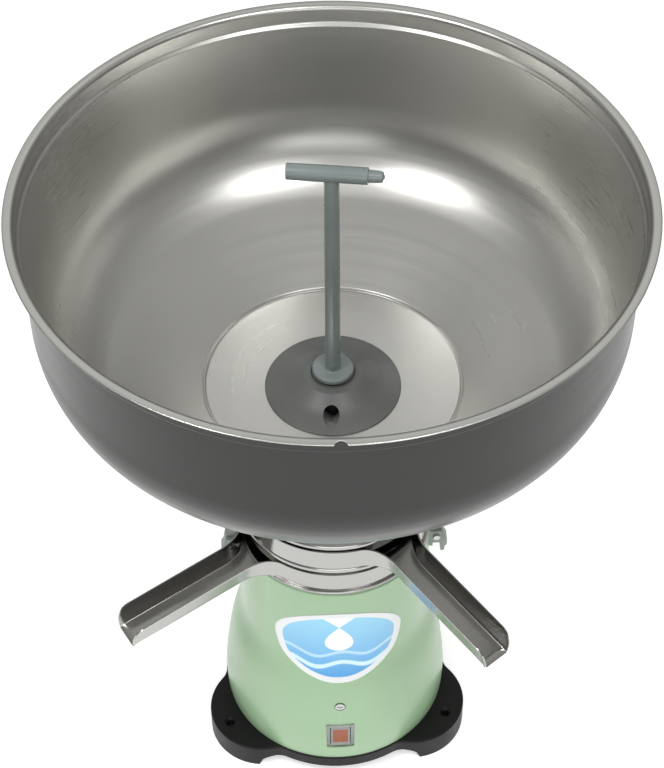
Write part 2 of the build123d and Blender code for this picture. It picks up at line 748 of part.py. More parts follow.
def receiver(radius, floor_z, shift, hole_r, lip_top, foot):
    """A pan with an open sloping spout, a lipped centre hole and a foot ring below."""
    outline = receiver_outline(radius, shift)
    top = floor_z + BAND_HEIGHT
    prism = Pos(0, 0, floor_z - 60) * extrude(outline, 120)
    outer = prism & receiver_side(floor_z - SHEET, top, 0)
    inner = Pos(0, 0, floor_z - 60) * extrude(offset(outline, -SHEET, kind=Kind.INTERSECTION), 120)
    inner = inner & receiver_side(floor_z, top + CUT_OVERRUN, 2 * CUT_OVERRUN)
    open_end = block(
        SPOUT_TIP_R - 3 * SHEET,
        SPOUT_TIP_R + 3,
        shift - SPOUT_WIDTH / 2 + SHEET,
        shift + SPOUT_WIDTH / 2 - SHEET,
        floor_z - 40,
        floor_z + 40,
    ) & receiver_side(floor_z, top + CUT_OVERRUN, 3.0)
    pan = outer - inner - open_end
    corner = block(SPOUT_TIP_R - SPOUT_CORNER_R, SPOUT_TIP_R + 5, -30, 30, floor_z - 40, floor_z + 40)
    tip_top = top - math.tan(math.radians(SPOUT_SLOPE)) * (SPOUT_TIP_R - SPOUT_ROOT_R)
    centre_x, centre_z = SPOUT_TIP_R - SPOUT_CORNER_R, tip_top - SPOUT_CORNER_R + 1.0
    rounding = rod(SPOUT_CORNER_R, (centre_x, -30, centre_z), (centre_x, 30, centre_z))
    above = block(centre_x, SPOUT_TIP_R + 5, -30, 30, centre_z, centre_z + 30)
    pan -= (above & corner) - rounding
    pan += ring(hole_r, hole_r + SHEET, floor_z - SHEET, lip_top)
    pan -= disc(hole_r, floor_z - 30, floor_z + 30)
    return pan + foot


def skim_receiver():
    """Lower receiver, for the skimmed milk, turned to its place."""
    foot = ring(59.6, 61.0, 187.0, SKIM_FLOOR_Z) + ring(60.0, SKIM_FLANGE_R, 193.2, 195.8)
    foot -= disc(SKIM_R - SHEET, SKIM_FLOOR_Z, 200)
    pan = receiver(SKIM_R, SKIM_FLOOR_Z, SPOUT_SIDE_SHIFT, SKIM_HOLE_R, SKIM_LIP_Z, foot)
    return Rot(0, 0, SKIM_AZIMUTH - 90.0) * pan


def cream_receiver():
    """Upper receiver, for the cream, with the skirt and bead that sit in the lower one."""
    inner_r = CREAM_SKIRT_R - SKIRT_WALL
    bead = Pos(0, 0, CREAM_BEAD_Z) * Torus(CREAM_BEAD_R, CREAM_BEAD)
    foot = ring(inner_r, CREAM_SKIRT_R, CREAM_SKIRT_Z, CREAM_FLOOR_Z)
    foot += bead - disc(inner_r, 200.0, 230.0)
    foot -= disc(inner_r, 200.0, CREAM_FLOOR_Z - SHEET)
    pan = receiver(CREAM_R, CREAM_FLOOR_Z, -SPOUT_SIDE_SHIFT, CREAM_HOLE_R, CREAM_LIP_Z, foot)
    return Rot(0, 0, CREAM_AZIMUTH - 90.0) * pan


def skim_gasket():
    """Rubber ring inside the neck that centres the lower receiver's spigot."""
    return ring(61.3, NECK_R - HOUSING_WALL, 184.0, 191.0)


# ---- Float chamber ----

def float_chamber():
    """Cup with its feed nozzle, a bead on the cream receiver and a flared rim under the bowl."""
    z = CHAMBER_FLOOR_Z
    cup = turned(
        (2.5, 236.5),
        (4.0, 236.5),
        (4.0, z - 1.2),
        (CHAMBER_SKIRT_R - SKIRT_WALL, z - 1.2),
        (CHAMBER_SKIRT_R - SKIRT_WALL, CHAMBER_SKIRT_Z),
        (CHAMBER_SKIRT_R, CHAMBER_SKIRT_Z),
        (CHAMBER_SKIRT_R, z),
        (CHAMBER_R, z + 2.0),
        (CHAMBER_R, CHAMBER_TOP_Z - 8.0),
        (CHAMBER_R + 5.0, CHAMBER_TOP_Z - 3.0),
        (CHAMBER_R + 5.0, CHAMBER_TOP_Z),
        (CHAMBER_R + 3.6, CHAMBER_TOP_Z),
        (CHAMBER_R + 3.6, CHAMBER_TOP_Z - 2.4),
        (CHAMBER_R - 1.2, CHAMBER_TOP_Z - 7.2),
        (CHAMBER_R - 1.2, z + 1.0),
        (2.5, z),
    )
    bead = Pos(0, 0, CHAMBER_BEAD_Z) * Torus(CHAMBER_BEAD_R, CHAMBER_BEAD)
    return cup + (bead - disc(CHAMBER_SKIRT_R - 0.8, 200.0, 260.0))


def milk_float():
    """Hollow disc float with a soft pad in the middle that closes the tap's outlet."""
    shell = fillet(disc(44.0, 250.0, 276.0).edges(), 6.0) + disc(9.0, 275.0, 288.0)
    hollow = fillet(disc(42.6, 251.4, 274.6).edges(), 5.0)
    legs = [turn * disc(3.0, CHAMBER_FLOOR_Z + 1.4, 251.0, 30.0) for turn in around(3)]
    return shell - hollow + legs


def float_pad():
    """Rubber pad on the float's boss."""
    return disc(8.0, 288.0, 290.5)


# ---- Milk bowl ----

def bowl_skin(inset):
    """The bowl's outer line, moved inwards by inset: wall, arc and cone, as edges from top to ring."""
    centre_r = BOWL_WALL_R - BOWL_ARC_R
    radius = BOWL_ARC_R - inset
    end_r, end_z = BOWL_RING_R, BOWL_RING_Z + inset
    away_r, away_z = centre_r - end_r, BOWL_ARC_Z - end_z
    reach = math.hypot(away_r, away_z)
    slope = math.atan2(away_z, away_r) - math.asin(radius / reach)
    run = math.sqrt(reach**2 - radius**2)
    touch = (end_r + run * math.cos(slope), 0, end_z + run * math.sin(slope))
    wall = Line((BOWL_WALL_R - inset, 0, BOWL_BAND_Z), (BOWL_WALL_R - inset, 0, BOWL_ARC_Z))
    middle = -(math.pi / 2 - slope) / 2
    through = (centre_r + radius * math.cos(middle), 0, BOWL_ARC_Z + radius * math.sin(middle))
    arc = ThreePointArc((BOWL_WALL_R - inset, 0, BOWL_ARC_Z), through, touch)
    cone = Line(touch, (end_r, 0, end_z))
    return [wall, arc, cone]


def milk_bowl():
    """Deep pressed bowl with a flat rim, a stepped band, a stamped ring and a dished floor."""
    t = BOWL_SHEET
    outer = bowl_skin(0.0)
    inner = bowl_skin(t)
    rim = Polyline(
        (BOWL_WALL_R, 0, BOWL_BAND_Z),
        (BOWL_BAND_R, 0, BOWL_BAND_Z + 1.0),
        (BOWL_BAND_R, 0, RIM_Z - 4.0),
        (BOWL_BAND_R + 1.0, 0, RIM_Z - 1.6),
        (RIM_R, 0, RIM_Z - 1.6),
        (RIM_R, 0, RIM_Z),
        (RIM_INNER_R + 1.0, 0, RIM_Z),
        (BOWL_BAND_R - t, 0, RIM_Z - 2.0),
        (BOWL_BAND_R - t, 0, BOWL_BAND_Z + 1.0),
        (BOWL_WALL_R - t, 0, BOWL_BAND_Z),
    )
    floor = Polyline(
        (BOWL_RING_R, 0, BOWL_RING_Z + t),
        (BOWL_RING_R - 1.4, 0, BOWL_RING_Z - 1.4 + t),
        (BOWL_RING_R - 3.0, 0, BOWL_RING_Z - 1.2 + t),
        (SEAT_R, 0, BOWL_DISH_Z - 2.2 + t),
        (BOWL_HOLE_R, 0, BOWL_DISH_Z - 2.2 + t),
        (BOWL_HOLE_R, 0, BOWL_DISH_Z - 2.2),
        (SEAT_R, 0, BOWL_DISH_Z - 2.2),
        (BOWL_RING_R - 3.0, 0, BOWL_RING_Z - 1.2),
        (BOWL_RING_R - 1.4, 0, BOWL_RING_Z - 1.4),
        (BOWL_RING_R, 0, BOWL_RING_Z),
    )
    face = make_face([*outer, floor, *inner, rim])
    bowl = revolve(face, Axis.Z)
    notch = Pos(0, -RIM_R - 0.2, RIM_Z) * Cylinder(RIM_NOTCH_R, 8.0)
    return bowl - notch


def tap_seat():
    """Hub in the bowl's floor: a low cone with the outlet groove, its port and the plug's bore."""
    floor_z = BOWL_DISH_Z - 2.2
    seat = turned(
        (PLUG_R + PLUG_FIT, SEAT_BOTTOM_Z),
        (13.0, SEAT_BOTTOM_Z),
        (13.0, 311.0),
        (BARREL_R, 316.0),
        (BARREL_R, floor_z + 1.0),
        (SEAT_R, floor_z + 1.0),
        (SEAT_R, SEAT_EDGE_Z + 0.6),
        (SEAT_BEND_R, SEAT_BEND_Z),
        (SEAT_CROWN_R, SEAT_TOP_Z - 0.4),
        (SEAT_CROWN_R - 1.5, SEAT_TOP_Z),
        (SEAT_WELL_R, SEAT_TOP_Z),
        (SEAT_WELL_R, SEAT_TOP_Z - 1.0),
        (PLUG_R + PLUG_FIT, SEAT_TOP_Z - 1.0),
    )
    seat -= rod(PORT_R, (0, 0, PORT_Z), (0, -34.0, PORT_Z))
    groove = rod(6.0, (0, -30.0, PORT_Z + 1.2), (0, -60.0, PORT_Z + 1.2))
    return seat - groove


def tap_nut():
    """Ring nut that clamps the seat in the bowl, from below."""
    nut = ring(BARREL_R, 40.0, 316.5, 320.8)
    notch = Pos(40.0, 0, 318.0) * Box(4.0, 8.0, 8.0)
    return nut - [turn * notch for turn in around(6)]


def tap_seal():
    """Rubber washer between the nut and the bowl's floor."""
    return ring(BARREL_R, 41.0, 320.8, BOWL_DISH_Z - 2.2)


def tap_handle():
    """Plug, collar, rod and cross bar in one moulding, with the plug's side port and outlet."""
    plug = turned(
        (0, PLUG_BOTTOM_Z),
        (PLUG_R, PLUG_BOTTOM_Z),
        (PLUG_R, COLLAR_Z0),
        (COLLAR_R - 0.8, COLLAR_Z0),
        (COLLAR_R, COLLAR_Z0 + 0.8),
        (COLLAR_R, COLLAR_Z1 - 0.8),
        (COLLAR_R - 0.8, COLLAR_Z1),
        (ROD_FOOT_R, COLLAR_Z1),
        (ROD_TOP_R, BAR_Z),
        (0, BAR_Z),
    )
    plug -= disc(PORT_R, PLUG_BOTTOM_Z - 5, PORT_Z)
    plug -= rod(PORT_R - 0.4, (0, 0, PORT_Z), (-20.0, 0, PORT_Z))
    for z in PLUG_GROOVES_Z:
        plug -= ring(PLUG_R - 1.2, PLUG_R + 1.0, z, z + 1.8)
    bar = rod(BAR_R, (-25.9, 0, BAR_Z), (20.7, 0, BAR_Z)) + rod(3.6, (20.0, 0, BAR_Z), (29.4, 0, BAR_Z))
    bar += rod(1.2, (29.0, 0, BAR_Z), (30.2, 0, BAR_Z))
    return plug + Rot(0, 0, BAR_TURN) * bar


def plug_rings():
    """Two sealing rings in the plug's grooves."""
    return [ring(PLUG_R - 1.2, PLUG_R, z, z + 1.8) for z in PLUG_GROOVES_Z]


# ---- Write every sub-part ----

def group(solids):
    """Separate solids kept as one node."""
    return Compound(children=list(solids))


save("base_plate", base_plate())
save("base_screws", group(base_screws()))
save("motor_housing", motor_housing())
save("badge_plate", badge_plate())
save("front_screw", front_screw())
save("switch_frame", switch_frame())
save("switch_rocker", rocker_shape())
save("switch_lens", rocker_lens())
save("cable_gland", cable_gland())
save("terminal_block", terminal_block())
for label, side in (("right", 0.0), ("left", 180.0)):
    save(f"latch_bracket_{label}", latch_bracket(side))
    save(f"latch_pin_{label}", latch_pin(side))
    save(f"latch_lever_{label}", latch_lever(side))

save("motor_shaft", motor_shaft())
save("lower_bearing", bearing(9.5, 28.0, 34.5))
save("upper_bearing", bearing(11.0, 90.5, 98.0))
save("lower_bracket", lower_bracket())
save("upper_bracket", upper_bracket())
save("stator_core", stator_core())
save("field_coils", group(field_coils()))
save("rotor_core", rotor_core())
save("rotor_windings", rotor_windings())
save("commutator", commutator())
save("cooling_fan", cooling_fan())
save("brush_holders", group(brush_holders()))
save("carbon_brushes", group(carbon_brushes()))
save("motor_bolts", group(motor_bolts()))
save("rubber_mounts", group(rubber_mounts()))
save("mount_screws", group(mount_screws()))
save("spindle_seal", spindle_seal())

save("drum_base", drum_base())
save("disc_holder", disc_holder())
save("disc_stack", group(disc_stack()))
save("separating_disc", separating_disc())
save("cream_screw", cream_screw())
save("drum_cover", drum_cover())
save("drum_seal", ring(50.0, 51.5, 125.0, 128.0))
save("drum_nut", drum_nut())

save("skim_gasket", skim_gasket())
save("skim_receiver", skim_receiver())
save("cream_receiver", cream_receiver())
save("float_chamber", float_chamber())
save("milk_float", milk_float())
save("float_pad", float_pad())
save("milk_bowl", milk_bowl())
save("tap_seat", tap_seat())
save("tap_nut", tap_nut())
save("tap_seal", tap_seal())
save("tap_handle", tap_handle())
save("plug_rings", group(plug_rings()))
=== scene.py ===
"""Looks for a household cream separator: pressed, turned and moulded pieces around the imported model.

The scene is in metres, with the table at z = 0, the drum's axis at x = y = 0 and the front at -Y.
Sizes in the classes below are in millimetres, and the mesh makers turn them into metres.
"""

import json
import logging
import math
from dataclasses import dataclass, field
from enum import Enum

import bmesh
import bpy
import numpy as np
from mathutils import Matrix, Vector

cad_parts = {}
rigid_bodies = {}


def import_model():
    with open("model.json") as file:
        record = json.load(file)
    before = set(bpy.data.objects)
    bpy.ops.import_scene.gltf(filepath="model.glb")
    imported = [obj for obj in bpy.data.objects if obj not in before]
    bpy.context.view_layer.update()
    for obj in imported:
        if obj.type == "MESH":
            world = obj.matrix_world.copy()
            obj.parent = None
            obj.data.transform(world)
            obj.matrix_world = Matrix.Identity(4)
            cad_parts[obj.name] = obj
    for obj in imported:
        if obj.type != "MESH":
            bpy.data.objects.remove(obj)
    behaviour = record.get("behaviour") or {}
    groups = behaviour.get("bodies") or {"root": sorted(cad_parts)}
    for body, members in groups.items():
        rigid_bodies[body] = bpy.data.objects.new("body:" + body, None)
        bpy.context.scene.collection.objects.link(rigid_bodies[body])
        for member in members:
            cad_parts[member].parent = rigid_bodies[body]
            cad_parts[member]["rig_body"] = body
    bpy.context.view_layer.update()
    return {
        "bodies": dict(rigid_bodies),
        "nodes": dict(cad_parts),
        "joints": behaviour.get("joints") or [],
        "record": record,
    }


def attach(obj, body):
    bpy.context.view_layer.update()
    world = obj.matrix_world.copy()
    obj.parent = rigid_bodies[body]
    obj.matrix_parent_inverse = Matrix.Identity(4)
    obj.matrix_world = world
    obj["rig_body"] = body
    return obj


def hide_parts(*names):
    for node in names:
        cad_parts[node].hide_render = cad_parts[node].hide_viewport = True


LOG = logging.getLogger("separator")
MM = 0.001
WELD_DISTANCE = 2e-6
NODE_COLUMN = 220
NODE_ROW = 240

Corner = tuple[float, ...]


# ---- Outlines ----


def rounded_line(corners: list[Corner], closed: bool = False, steps: int = 6) -> np.ndarray:
    """Draw straight runs joined by arcs.

    A corner (x, y, r) becomes the arc of radius r that touches the runs on both sides; its centre lies on
    the corner's bisector, r / sin(half the corner's angle) away. A corner (x, y) stays sharp.

    Args:
        corners: The corners in order, each (x, y) or (x, y, radius).
        closed: Whether the last corner joins the first.
        steps: Number of short runs in each arc.

    Returns:
        The points of the line, one row each.
    """
    spots = np.array([corner[:2] for corner in corners], float)
    parts = []
    for i, corner in enumerate(corners):
        is_end = not closed and i in (0, len(corners) - 1)
        if is_end or len(corner) < 3 or corner[2] <= 0:
            parts.append(spots[i][None, :])
            continue
        back = spots[i - 1] - spots[i]
        ahead = spots[(i + 1) % len(corners)] - spots[i]
        back = back / np.linalg.norm(back)
        ahead = ahead / np.linalg.norm(ahead)
        half = math.acos(float(np.clip(back @ ahead, -1.0, 1.0))) / 2
        middle = (back + ahead) / np.linalg.norm(back + ahead)
        centre = spots[i] + middle * corner[2] / math.sin(half)
        start = spots[i] + back * corner[2] / math.tan(half) - centre
        end = spots[i] + ahead * corner[2] / math.tan(half) - centre
        first = math.atan2(start[1], start[0])
        sweep = math.atan2(end[1], end[0]) - first
        sweep = (sweep + math.pi) % (2 * math.pi) - math.pi
        angles = first + sweep * np.linspace(0.0, 1.0, steps + 1)
        parts.append(centre + corner[2] * np.column_stack([np.cos(angles), np.sin(angles)]))
    return np.vstack(parts)


def offset_line(line: np.ndarray, distance: float | np.ndarray) -> np.ndarray:
    """Move an open line sideways to the right of its travel.

    Each point moves along the mitre of its two runs: the sum of their normals over one plus their
    dot product.

    Args:
        line: Points of the line.
        distance: How far, the same for all points or one value each.

    Returns:
        The moved points.
    """
    runs = np.roll(line, -1, axis=0) - line
    runs[-1] = runs[-2]
    runs = runs / np.maximum(np.linalg.norm(runs, axis=1, keepdims=True), 1e-9)
    after = np.column_stack([runs[:, 1], -runs[:, 0]])
    before = np.roll(after, 1, axis=0)
    before[0] = after[0]
    mitre = (after + before) / (1.0 + np.sum(after * before, axis=1, keepdims=True))
    return line + mitre * np.reshape(distance, (-1, 1))


# ---- Mesh makers ----


def along(origin: Corner, direction: Corner) -> Matrix:
    """A placing that carries +Z to a direction and the origin to a point, in millimetres."""
    turn = Vector(direction).to_track_quat("Z", "Y").to_matrix().to_4x4()
    return Matrix.Translation(Vector(origin)) @ turn


def placed(points: np.ndarray, placing: Matrix | None) -> np.ndarray:
    """Apply a placing to an array of points whose last axis is x, y, z."""
    if placing is None:
        return points
    matrix = np.array(placing)
    return points @ matrix[:3, :3].T + matrix[:3, 3]


def new_piece(name: str, points: np.ndarray, faces: list[list[int]]) -> bpy.types.Object:
    """Put points in millimetres and their faces into a new object, welded, with its faces outwards.

    Args:
        name: The piece's name.
        points: The vertices, one row each.
        faces: Lists of vertex numbers.

    Returns:
        The new object, at the origin.
    """
    mesh = bpy.data.meshes.new(name)
    mesh.from_pydata((points * MM).tolist(), [], faces)
    work = bmesh.new()
    work.from_mesh(mesh)
    bmesh.ops.remove_doubles(work, verts=work.verts, dist=WELD_DISTANCE)
    bmesh.ops.dissolve_degenerate(work, dist=WELD_DISTANCE, edges=work.edges)
    bmesh.ops.recalc_face_normals(work, faces=work.faces)
    work.to_mesh(mesh)
    work.free()
    piece = bpy.data.objects.new(name, mesh)
    bpy.context.scene.collection.objects.link(piece)
    return piece


def grid_faces(rows: int, columns: int, wrap_rows: bool, wrap_columns: bool) -> list[list[int]]:
    """Quads of a grid of points, row by row, with either direction closed on itself."""
    index = np.arange(rows * columns).reshape(rows, columns)
    if wrap_rows:
        index = np.vstack([index, index[:1]])
    if wrap_columns:
        index = np.hstack([index, index[:, :1]])
    corners = [index[:-1, :-1], index[1:, :-1], index[1:, 1:], index[:-1, 1:]]
    return np.stack(corners, axis=-1).reshape(-1, 4).tolist()


def grid_piece(name: str, points: np.ndarray, wrap_rows: bool, wrap_columns: bool) -> bpy.types.Object:
    """Make a piece from a grid of points of shape (rows, columns, 3)."""
    rows, columns = points.shape[:2]
    faces = grid_faces(rows, columns, wrap_rows, wrap_columns)
    return new_piece(name, points.reshape(-1, 3), faces)


def turned_points(radius: np.ndarray, height: np.ndarray, angles: np.ndarray) -> np.ndarray:
    """Points about the Z axis: the point at angle a is (r cos a, r sin a, z), a row for each height.

    Args:
        radius: A column of radii, or a grid with one radius for each height and angle.
        height: A column of heights.
        angles: The angles, one for each column.

    Returns:
        A grid of points of shape (rows, angles, 3).
    """
    return np.stack([radius * np.cos(angles), radius * np.sin(angles), height + 0 * angles], axis=-1)


def spun(name: str, profile: np.ndarray, placing: Matrix | None = None, segments: int = 96,
         closed: bool = True) -> bpy.types.Object:
    """Turn a profile about its own Z axis.

    Args:
        name: The piece's name.
        profile: Rows of radius and height.
        placing: Where the turned shape goes.
        segments: Number of steps round the axis.
        closed: Whether the profile closes on itself, as the section of a ring does.

    Returns:
        The new piece.
    """
    angles = np.linspace(0.0, 2 * math.pi, segments, endpoint=False)
    points = turned_points(profile[:, :1], profile[:, 1:], angles)
    return grid_piece(name, placed(points, placing), closed, True)


def remade(piece: bpy.types.Object) -> bpy.types.Object:
    """Keep what a piece's modifiers made as its own mesh."""
    depsgraph = bpy.context.evaluated_depsgraph_get()
    mesh = bpy.data.meshes.new_from_object(piece.evaluated_get(depsgraph))
    piece.modifiers.clear()
    piece.data = mesh
    return piece


def combined(piece: bpy.types.Object, others: list[bpy.types.Object], operation: str) -> bpy.types.Object:
    """Cut other shapes out of a piece or weld them on, and remove them.

    Args:
        piece: The piece that stays.
        others: Shapes used up.
        operation: DIFFERENCE or UNION.

    Returns:
        The piece.
    """
    for other in others:
        step = piece.modifiers.new("combine", "BOOLEAN")
        step.operation = operation
        step.solver = "EXACT"
        step.object = other
    remade(piece)
    for other in others:
        bpy.data.objects.remove(other)
    return piece


def joined(piece: bpy.types.Object, others: list[bpy.types.Object]) -> bpy.types.Object:
    """Keep several shells as one piece."""
    work = bmesh.new()
    work.from_mesh(piece.data)
    for other in others:
        work.from_mesh(other.data)
        bpy.data.objects.remove(other)
    work.to_mesh(piece.data)
    work.free()
    return piece


def smoothed(piece: bpy.types.Object, sharp_angle: float = 32.0) -> bpy.types.Object:
    """Shade a piece smooth, with hard edges above an angle in degrees."""
    piece.data.shade_smooth()
    piece.data.set_sharp_from_angle(angle=math.radians(sharp_angle))
    return piece


# ---- Finishes ----


def empty_material(name: str) -> tuple[bpy.types.Material, bpy.types.Nodes, bpy.types.NodeLinks]:
    """A new material with nothing in its tree, with the tree's nodes and links."""
    material = bpy.data.materials.new(name)
    material.use_nodes = True
    tree = material.node_tree
    tree.nodes.clear()
    return material, tree.nodes, tree.links


class Lay(Enum):
    """The way fine tool marks run on a metal surface."""

    RINGS = "rings about the object's axis"
    HEIGHT = "level lines"


@dataclass(frozen=True)
class MetalFinish:
    """Bare metal with fine tool marks and a cloudy polish, and where asked a painted reflection: a brighter
    colour low on the piece.

    Fields:
        name: Material name.
        colour: Reflected colour, linear.
        roughness: Lowest and highest roughness of the cloud.
        lay: Way the tool marks run.
        lines: Tool marks per metre.
        depth: Strength of the marks' bump.
        cloud: Scale of the polish's cloud.
        painted_reflection_colour: Brighter colour painted low on the piece as a painted reflection, or None.
        foot: Heights between which the painted reflection fades out.
    """

    name: str
    colour: tuple[float, float, float]
    roughness: tuple[float, float]
    lay: Lay = Lay.RINGS
    lines: float = 900.0
    depth: float = 0.05
    cloud: float = 14.0
    painted_reflection_colour: tuple[float, float, float] | None = None
    foot: tuple[float, float] = (0.0, 1.0)

    def material(self) -> bpy.types.Material:
        """Write the finish out as nodes.

        Returns:
            A metal whose roughness follows a soft cloud and whose bump and roughness follow tool marks, with
            a painted reflection low on the piece where asked.
        """
        material, nodes, links = empty_material(self.name)

        output = nodes.new("ShaderNodeOutputMaterial")
        output.label = "Finished metal"
        metal = nodes.new("ShaderNodeBsdfPrincipled")
        metal.label = "Bare metal"

        place = nodes.new("ShaderNodeTexCoord")
        place.label = "Place on the object"
        parts = nodes.new("ShaderNodeSeparateXYZ")
        parts.label = "X, Y and height"
        level = nodes.new("ShaderNodeCombineXYZ")
        level.label = "Level part"
        radius = nodes.new("ShaderNodeVectorMath")
        radius.label = "Distance from the axis"
        mark_place = nodes.new("ShaderNodeCombineXYZ")
        mark_place.label = "Across the marks"
        marks = nodes.new("ShaderNodeTexNoise")
        marks.label = "Tool marks"
        bump = nodes.new("ShaderNodeBump")
        bump.label = "Marks as relief"

        cloud = nodes.new("ShaderNodeTexNoise")
        cloud.label = "Polishing cloud"
        cloud_range = nodes.new("ShaderNodeMapRange")
        cloud_range.label = "Cloud to roughness"
        mark_range = nodes.new("ShaderNodeMapRange")
        mark_range.label = "Marks to roughness"
        rough = nodes.new("ShaderNodeMath")
        rough.label = "Cloud plus marks"

        mark_frame = nodes.new("NodeFrame")
        mark_frame.label = "Tool marks"
        for node in (parts, level, radius, mark_place, marks, bump):
            node.parent = mark_frame
        polish_frame = nodes.new("NodeFrame")
        polish_frame.label = "Polish"
        for node in (cloud, cloud_range, mark_range, rough):
            node.parent = polish_frame

        columns = [[place], [parts, cloud], [level, cloud_range], [radius], [mark_place], [marks],
                   [mark_range, bump], [rough], [metal], [output]]
        lay_out(columns)

        metal.inputs["Base Color"].default_value = (*self.colour, 1.0)
        metal.inputs["Metallic"].default_value = 1.0
        radius.operation = "LENGTH"
        marks.inputs["Scale"].default_value = self.lines
        marks.inputs["Detail"].default_value = 0.0
        marks.inputs["Roughness"].default_value = 0.6
        bump.inputs["Strength"].default_value = self.depth
        bump.inputs["Distance"].default_value = 0.0002
        cloud.inputs["Scale"].default_value = self.cloud
        cloud.inputs["Detail"].default_value = 4.0
        cloud_range.inputs["From Min"].default_value = 0.3
        cloud_range.inputs["From Max"].default_value = 0.7
        cloud_range.inputs["To Min"].default_value = self.roughness[0]
        cloud_range.inputs["To Max"].default_value = self.roughness[1]
        mark_range.inputs["From Min"].default_value = 0.3
        mark_range.inputs["From Max"].default_value = 0.7
        mark_range.inputs["To Min"].default_value = -0.02
        mark_range.inputs["To Max"].default_value = 0.02
        rough.operation = "ADD"
        rough.use_clamp = True

        links.new(place.outputs["Object"], parts.inputs[0])
        links.new(parts.outputs["X"], level.inputs["X"])
        links.new(parts.outputs["Y"], level.inputs["Y"])
        links.new(level.outputs[0], radius.inputs[0])
        if self.lay is Lay.RINGS:
            links.new(radius.outputs["Value"], mark_place.inputs["X"])
        links.new(parts.outputs["Z"], mark_place.inputs["Z"])
        links.new(mark_place.outputs[0], marks.inputs["Vector"])
        links.new(marks.outputs["Fac"], bump.inputs["Height"])
        links.new(marks.outputs["Fac"], mark_range.inputs["Value"])
        links.new(place.outputs["Object"], cloud.inputs["Vector"])
        links.new(cloud.outputs["Fac"], cloud_range.inputs["Value"])
        links.new(cloud_range.outputs[0], rough.inputs[0])
        links.new(mark_range.outputs[0], rough.inputs[1])
        links.new(rough.outputs[0], metal.inputs["Roughness"])
        links.new(bump.outputs["Normal"], metal.inputs["Normal"])
        links.new(metal.outputs[0], output.inputs["Surface"])
        # Painted reflection: a brighter base colour low on the piece fades into the rest.
        if self.painted_reflection_colour is not None:
            self.paint_foot_reflection(nodes, links, parts, metal)
        return material

    def paint_foot_reflection(
        self,
        nodes: bpy.types.Nodes,
        links: bpy.types.NodeLinks,
        parts: bpy.types.Node,
        metal: bpy.types.Node,
    ) -> None:
        """Add the painted reflection: a fade from the brighter colour painted low on the piece to the colour
        of the rest.

        Args:
            nodes: The material's nodes.
            links: The material's links.
            parts: The node that gives the height.
            metal: The metal shader.
        """
        height = nodes.new("ShaderNodeMapRange")
        height.label = "Height to painted reflection"
        height.location = (7 * NODE_COLUMN, 2 * NODE_ROW)
        tint = nodes.new("ShaderNodeMix")
        tint.label = "Painted reflection to wall colour"
        tint.location = (8 * NODE_COLUMN, 2 * NODE_ROW)

        painted_reflection_frame = nodes.new("NodeFrame")
        painted_reflection_frame.label = "Painted reflection at the foot"
        for node in (height, tint):
            node.parent = painted_reflection_frame

        # Painted reflection: its brighter colour below the lower height, the wall's colour above the upper
        # one.
        height.interpolation_type = "SMOOTHSTEP"
        height.inputs["From Min"].default_value = self.foot[0]
        height.inputs["From Max"].default_value = self.foot[1]
        tint.data_type = "RGBA"
        tint.inputs[6].default_value = (*self.painted_reflection_colour, 1.0)
        tint.inputs[7].default_value = (*self.colour, 1.0)

        links.new(parts.outputs["Z"], height.inputs["Value"])
        links.new(height.outputs[0], tint.inputs["Factor"])
        links.new(tint.outputs[2], metal.inputs["Base Color"])


def lay_out(columns: list[list[bpy.types.Node]]) -> None:
    """Give nodes their places in the editor, column by column from the left."""
    for i, column in enumerate(columns):
        for j, node in enumerate(column):
            node.location = (i * NODE_COLUMN, -j * NODE_ROW)


